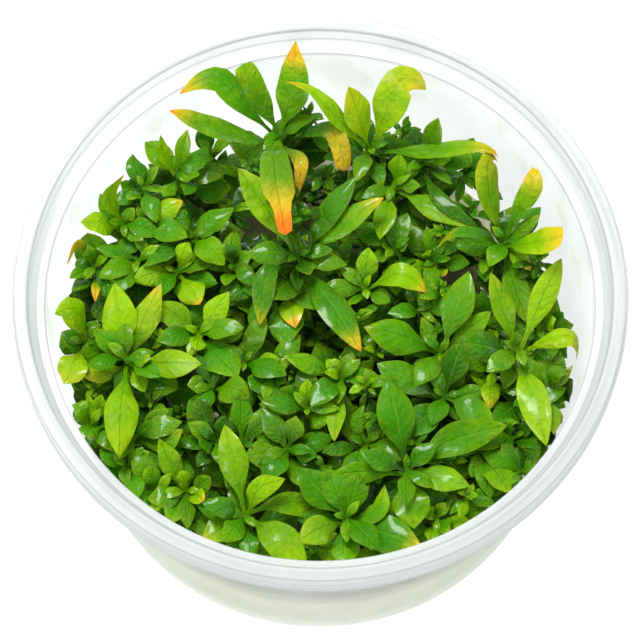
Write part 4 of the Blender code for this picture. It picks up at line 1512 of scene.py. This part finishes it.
    def grow_shoot(self, shoot: Shoot, base: float) -> None:
        """Grow a side shoot with a rosette of small leaves.

        Args:
            shoot: The shoot.
            base: How light the plantlet's green is.
        """
        foot = self.stem_point(self.foot[2] + (shoot.top[2] - self.foot[2]) * self.rng.uniform(0.3, 0.6))
        share = np.linspace(0.0, 1.0, 8)[:, None]
        out = shoot.top - foot
        line = foot + out * share * (1.0, 1.0, 0.0) * (1.5 - 0.5 * share) + out * share * (0.0, 0.0, 1.0)
        self.grow_tube(line - 0.9 * MM * UP, 0.55 * self.stem_radius)
        turn, leaning = self.rng.uniform(0.0, FULL_TURN, 2)
        lean = self.rng.uniform(8.0, 38.0)
        for level, (count, size, rise) in enumerate(self.SHOOT_LEVELS):
            root = shoot.top - (0.6 + 1.3 * level) * MM * UP
            for _ in range(count):
                turn += GOLDEN_ANGLE + self.rng.uniform(-0.7, 0.7)
                length = shoot.reach * size * self.rng.uniform(0.6, 1.45)
                width = length * self.rng.uniform(0.3, 0.44)
                tilt = rise + lean * math.cos(turn - leaning) + self.rng.uniform(-10.0, 12.0)
                axis = self.side_leaf(root, turn, length, width, tilt)
                # Painted shade: the lower levels of the rosette get a darker green.
                light = base + 0.1 - 0.14 * level + self.rng.uniform(-0.14, 0.14)
                blade = Blade(
                    across=6, along=10, skew=self.rng.uniform(1.1, 1.4), neck=self.rng.uniform(0.3, 0.55)
                )
                self.grow_blade(blade, axis, light)
        self.grow_bud(shoot.top - 0.4 * MM * UP, 0.55 * shoot.reach, base)

    def below_ceiling(self, points: np.ndarray) -> np.ndarray:
        """Ease the points near the top of the whole object down, so that none passes it.

        Args:
            points: The plantlet's points.

        Returns:
            The eased points.
        """
        start = self.ceiling - self.eased
        over = np.maximum(points[:, 2] - start, 0.0)
        points[:, 2] += self.eased * np.tanh(over / self.eased) - over
        return points

    def build(self, crowd: KDTree) -> bpy.types.Object:
        """Grow every part, make the mesh and let it take its solid's place.

        Args:
            crowd: Points on the leaves of all the solids.

        Returns:
            The plantlet.
        """
        self.grow_stem()
        base = self.grow_leaves()
        self.grow_bud(self.bud - 1.2 * MM * UP, 4.4 * MM, base)
        for shoot in self.shoots:
            self.grow_shoot(shoot, base)
        self.grow_low_leaves(crowd)
        growth = self.growth
        points = self.below_ceiling(np.vstack(growth.points))
        name = self.node.removeprefix("plantlet_") + "_plant"
        piece = add_piece(name, points.tolist(), growth.faces, self.materials, self.crease)
        mesh = piece.data
        mesh.polygons.foreach_set("material_index", growth.finishes)
        for attribute, rows in (("leaf_place", growth.places), ("leaf_age_and_shade", growth.ages)):
            made = mesh.attributes.new(attribute, "FLOAT_VECTOR", "POINT")
            made.data.foreach_set("vector", np.vstack(rows).astype(np.float32).ravel())
        stand_for(piece, self.node)
        return piece


@dataclass
class Studio:
    """The plain floor, the soft light and the camera."""

    # The soft lights: name, place, length of a side and power in watts
    LIGHTS = (
        ("softbox_back", (-0.12, 0.30, 0.62), 0.24, 4.8),
        ("softbox_left", (-0.55, -0.05, 0.50), 0.30, 1.9),
        ("softbox_right", (0.50, -0.15, 0.55), 0.30, 0.9),
        ("softbox_front", (0.0, -0.60, 0.10), 0.40, 3.0),
    )

    floor_finish: bpy.types.Material
    floor_size: float = 3.0
    lens: float = 135.0
    sensor: float = 36.0
    nearest: float = 0.01
    camera_tilt: float = 22.46
    aim_height: float = 0.04
    sky: float = 0.62

    def add_floor(self) -> bpy.types.Object:
        """Lay the floor under the cup.

        Returns:
            The floor.
        """
        half = self.floor_size / 2.0
        corners = [(-half, -half, 0.0), (half, -half, 0.0), (half, half, 0.0), (-half, half, 0.0)]
        floor = add_piece("studio_floor", corners, [(0, 1, 2, 3)], [self.floor_finish], 30.0)
        floor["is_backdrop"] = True
        return floor

    def add_light(self, name: str, place: tuple[float, float, float], size: float, power: float) -> None:
        """Hang a soft square light that faces the cup.

        Args:
            name: The light's name.
            place: Where it hangs.
            size: The length of its side.
            power: Its power, in watts.
        """
        lamp = bpy.data.lights.new(name, "AREA")
        lamp.shape = "SQUARE"
        lamp.size = size
        lamp.energy = power
        light = bpy.data.objects.new(name, lamp)
        light.location = place
        aim = Vector((0.0, 0.0, self.aim_height)) - Vector(place)
        light.rotation_euler = aim.to_track_quat("-Z", "Y").to_euler()
        bpy.context.collection.objects.link(light)

    def add_sky(self) -> None:
        """Surround the scene with even white light."""
        world = bpy.data.worlds.new("studio_sky")
        world.use_nodes = True
        background = world.node_tree.nodes["Background"]
        background.inputs["Color"].default_value = (1.0, 1.0, 1.0, 1.0)
        background.inputs["Strength"].default_value = self.sky
        bpy.context.scene.world = world

    def add_camera(self) -> bpy.types.Object:
        """Place the camera above the front of the cup.

        Returns:
            The camera.
        """
        lens = bpy.data.cameras.new("camera")
        lens.lens = self.lens
        lens.sensor_width = self.sensor
        lens.clip_start = self.nearest
        camera = bpy.data.objects.new("camera", lens)
        camera.location = EYE
        camera.rotation_euler = (math.radians(self.camera_tilt), 0.0, 0.0)
        bpy.context.collection.objects.link(camera)
        bpy.context.scene.camera = camera
        return camera

    def build(self) -> None:
        """Set up the floor, the lights, the sky and the camera."""
        self.add_floor()
        for light in self.LIGHTS:
            self.add_light(*light)
        self.add_sky()
        self.add_camera()
        bpy.context.scene.view_settings.view_transform = "Standard"


@dataclass
class Garden:
    """All the plantlets, and the side shoots that close the carpet between them."""

    cup: Cup
    materials: tuple[bpy.types.Material, bpy.types.Material]
    ceiling: float
    edge_gap: float = 2.6 * MM

    def give_looks(self, plants: list[Plantlet]) -> None:
        """Give the leaves that LEAF_LOOKS names their looks.

        Args:
            plants: All the plantlets.
        """
        leaves = [(plant, number) for plant in plants for number in range(len(plant.leaves))]
        tips = read(np.array([plant.leaves[number].points[-1] for plant, number in leaves])) / MM
        for look, places in LEAF_LOOKS.items():
            for place in places:
                plant, number = leaves[int(np.argmin(np.linalg.norm(tips - place, axis=1)))]
                plant.looks[number] = look

    def plan_shoots(self, plants: list[Plantlet], points: np.ndarray) -> None:
        """Plan the side shoots and give each to the plantlet next to it.

        Args:
            plants: All the plantlets.
            points: Points on all their leaves.
        """
        edge = self.cup.inner_radius(READ_LEVEL) - self.edge_gap
        canopy = Canopy(edge, np.random.default_rng(len(plants)))
        canopy.cover(points)
        canopy.cover(np.array([plant.bud for plant in plants]))
        for shoot in canopy.plan():
            nearest = min(plants, key=lambda plant: np.linalg.norm((plant.bud - shoot.top)[:2]))
            nearest.shoots.append(shoot)

    def build(self) -> int:
        """Plan the side shoots and grow every plantlet.

        Returns:
            The number of faces.
        """
        nodes = sorted(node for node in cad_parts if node.startswith("plantlet_"))
        plants = [Plantlet(node, self.cup, self.materials, self.ceiling) for node in nodes]
        points = np.vstack([leaf.samples() for plant in plants for leaf in plant.leaves])
        crowd = KDTree(len(points))
        for number, point in enumerate(points):
            crowd.insert(point, number)
        crowd.balance()
        self.give_looks(plants)
        self.plan_shoots(plants, points)
        log.info("planned %d side shoots", sum(len(plant.shoots) for plant in plants))
        return sum(len(plant.build(crowd).data.polygons) for plant in plants)


def corners_of(box: tuple[Vector, Vector]) -> list[list[float]]:
    """A box's two corners as plain lists."""
    return [list(corner) for corner in box]


def main() -> None:
    """Build the cup, the gel, the plantlets and the studio."""
    logging.basicConfig(level=logging.INFO, format="%(name)s: %(message)s")
    solid_box = corners_of(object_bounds())
    Effects()
    cup = Cup(FrostedFinish().build())
    log.info("made %s", cup.build().name)
    log.info("made %s", Gel(GelFinish().build(), cup).build().name)
    garden = Garden(cup, (LeafFinish().build(), StemFinish().build()), solid_box[1][2])
    log.info("grew the plantlets, with %d faces", garden.build())
    Studio(FloorFinish().build()).build()


if __name__ == "__main__":
    main()
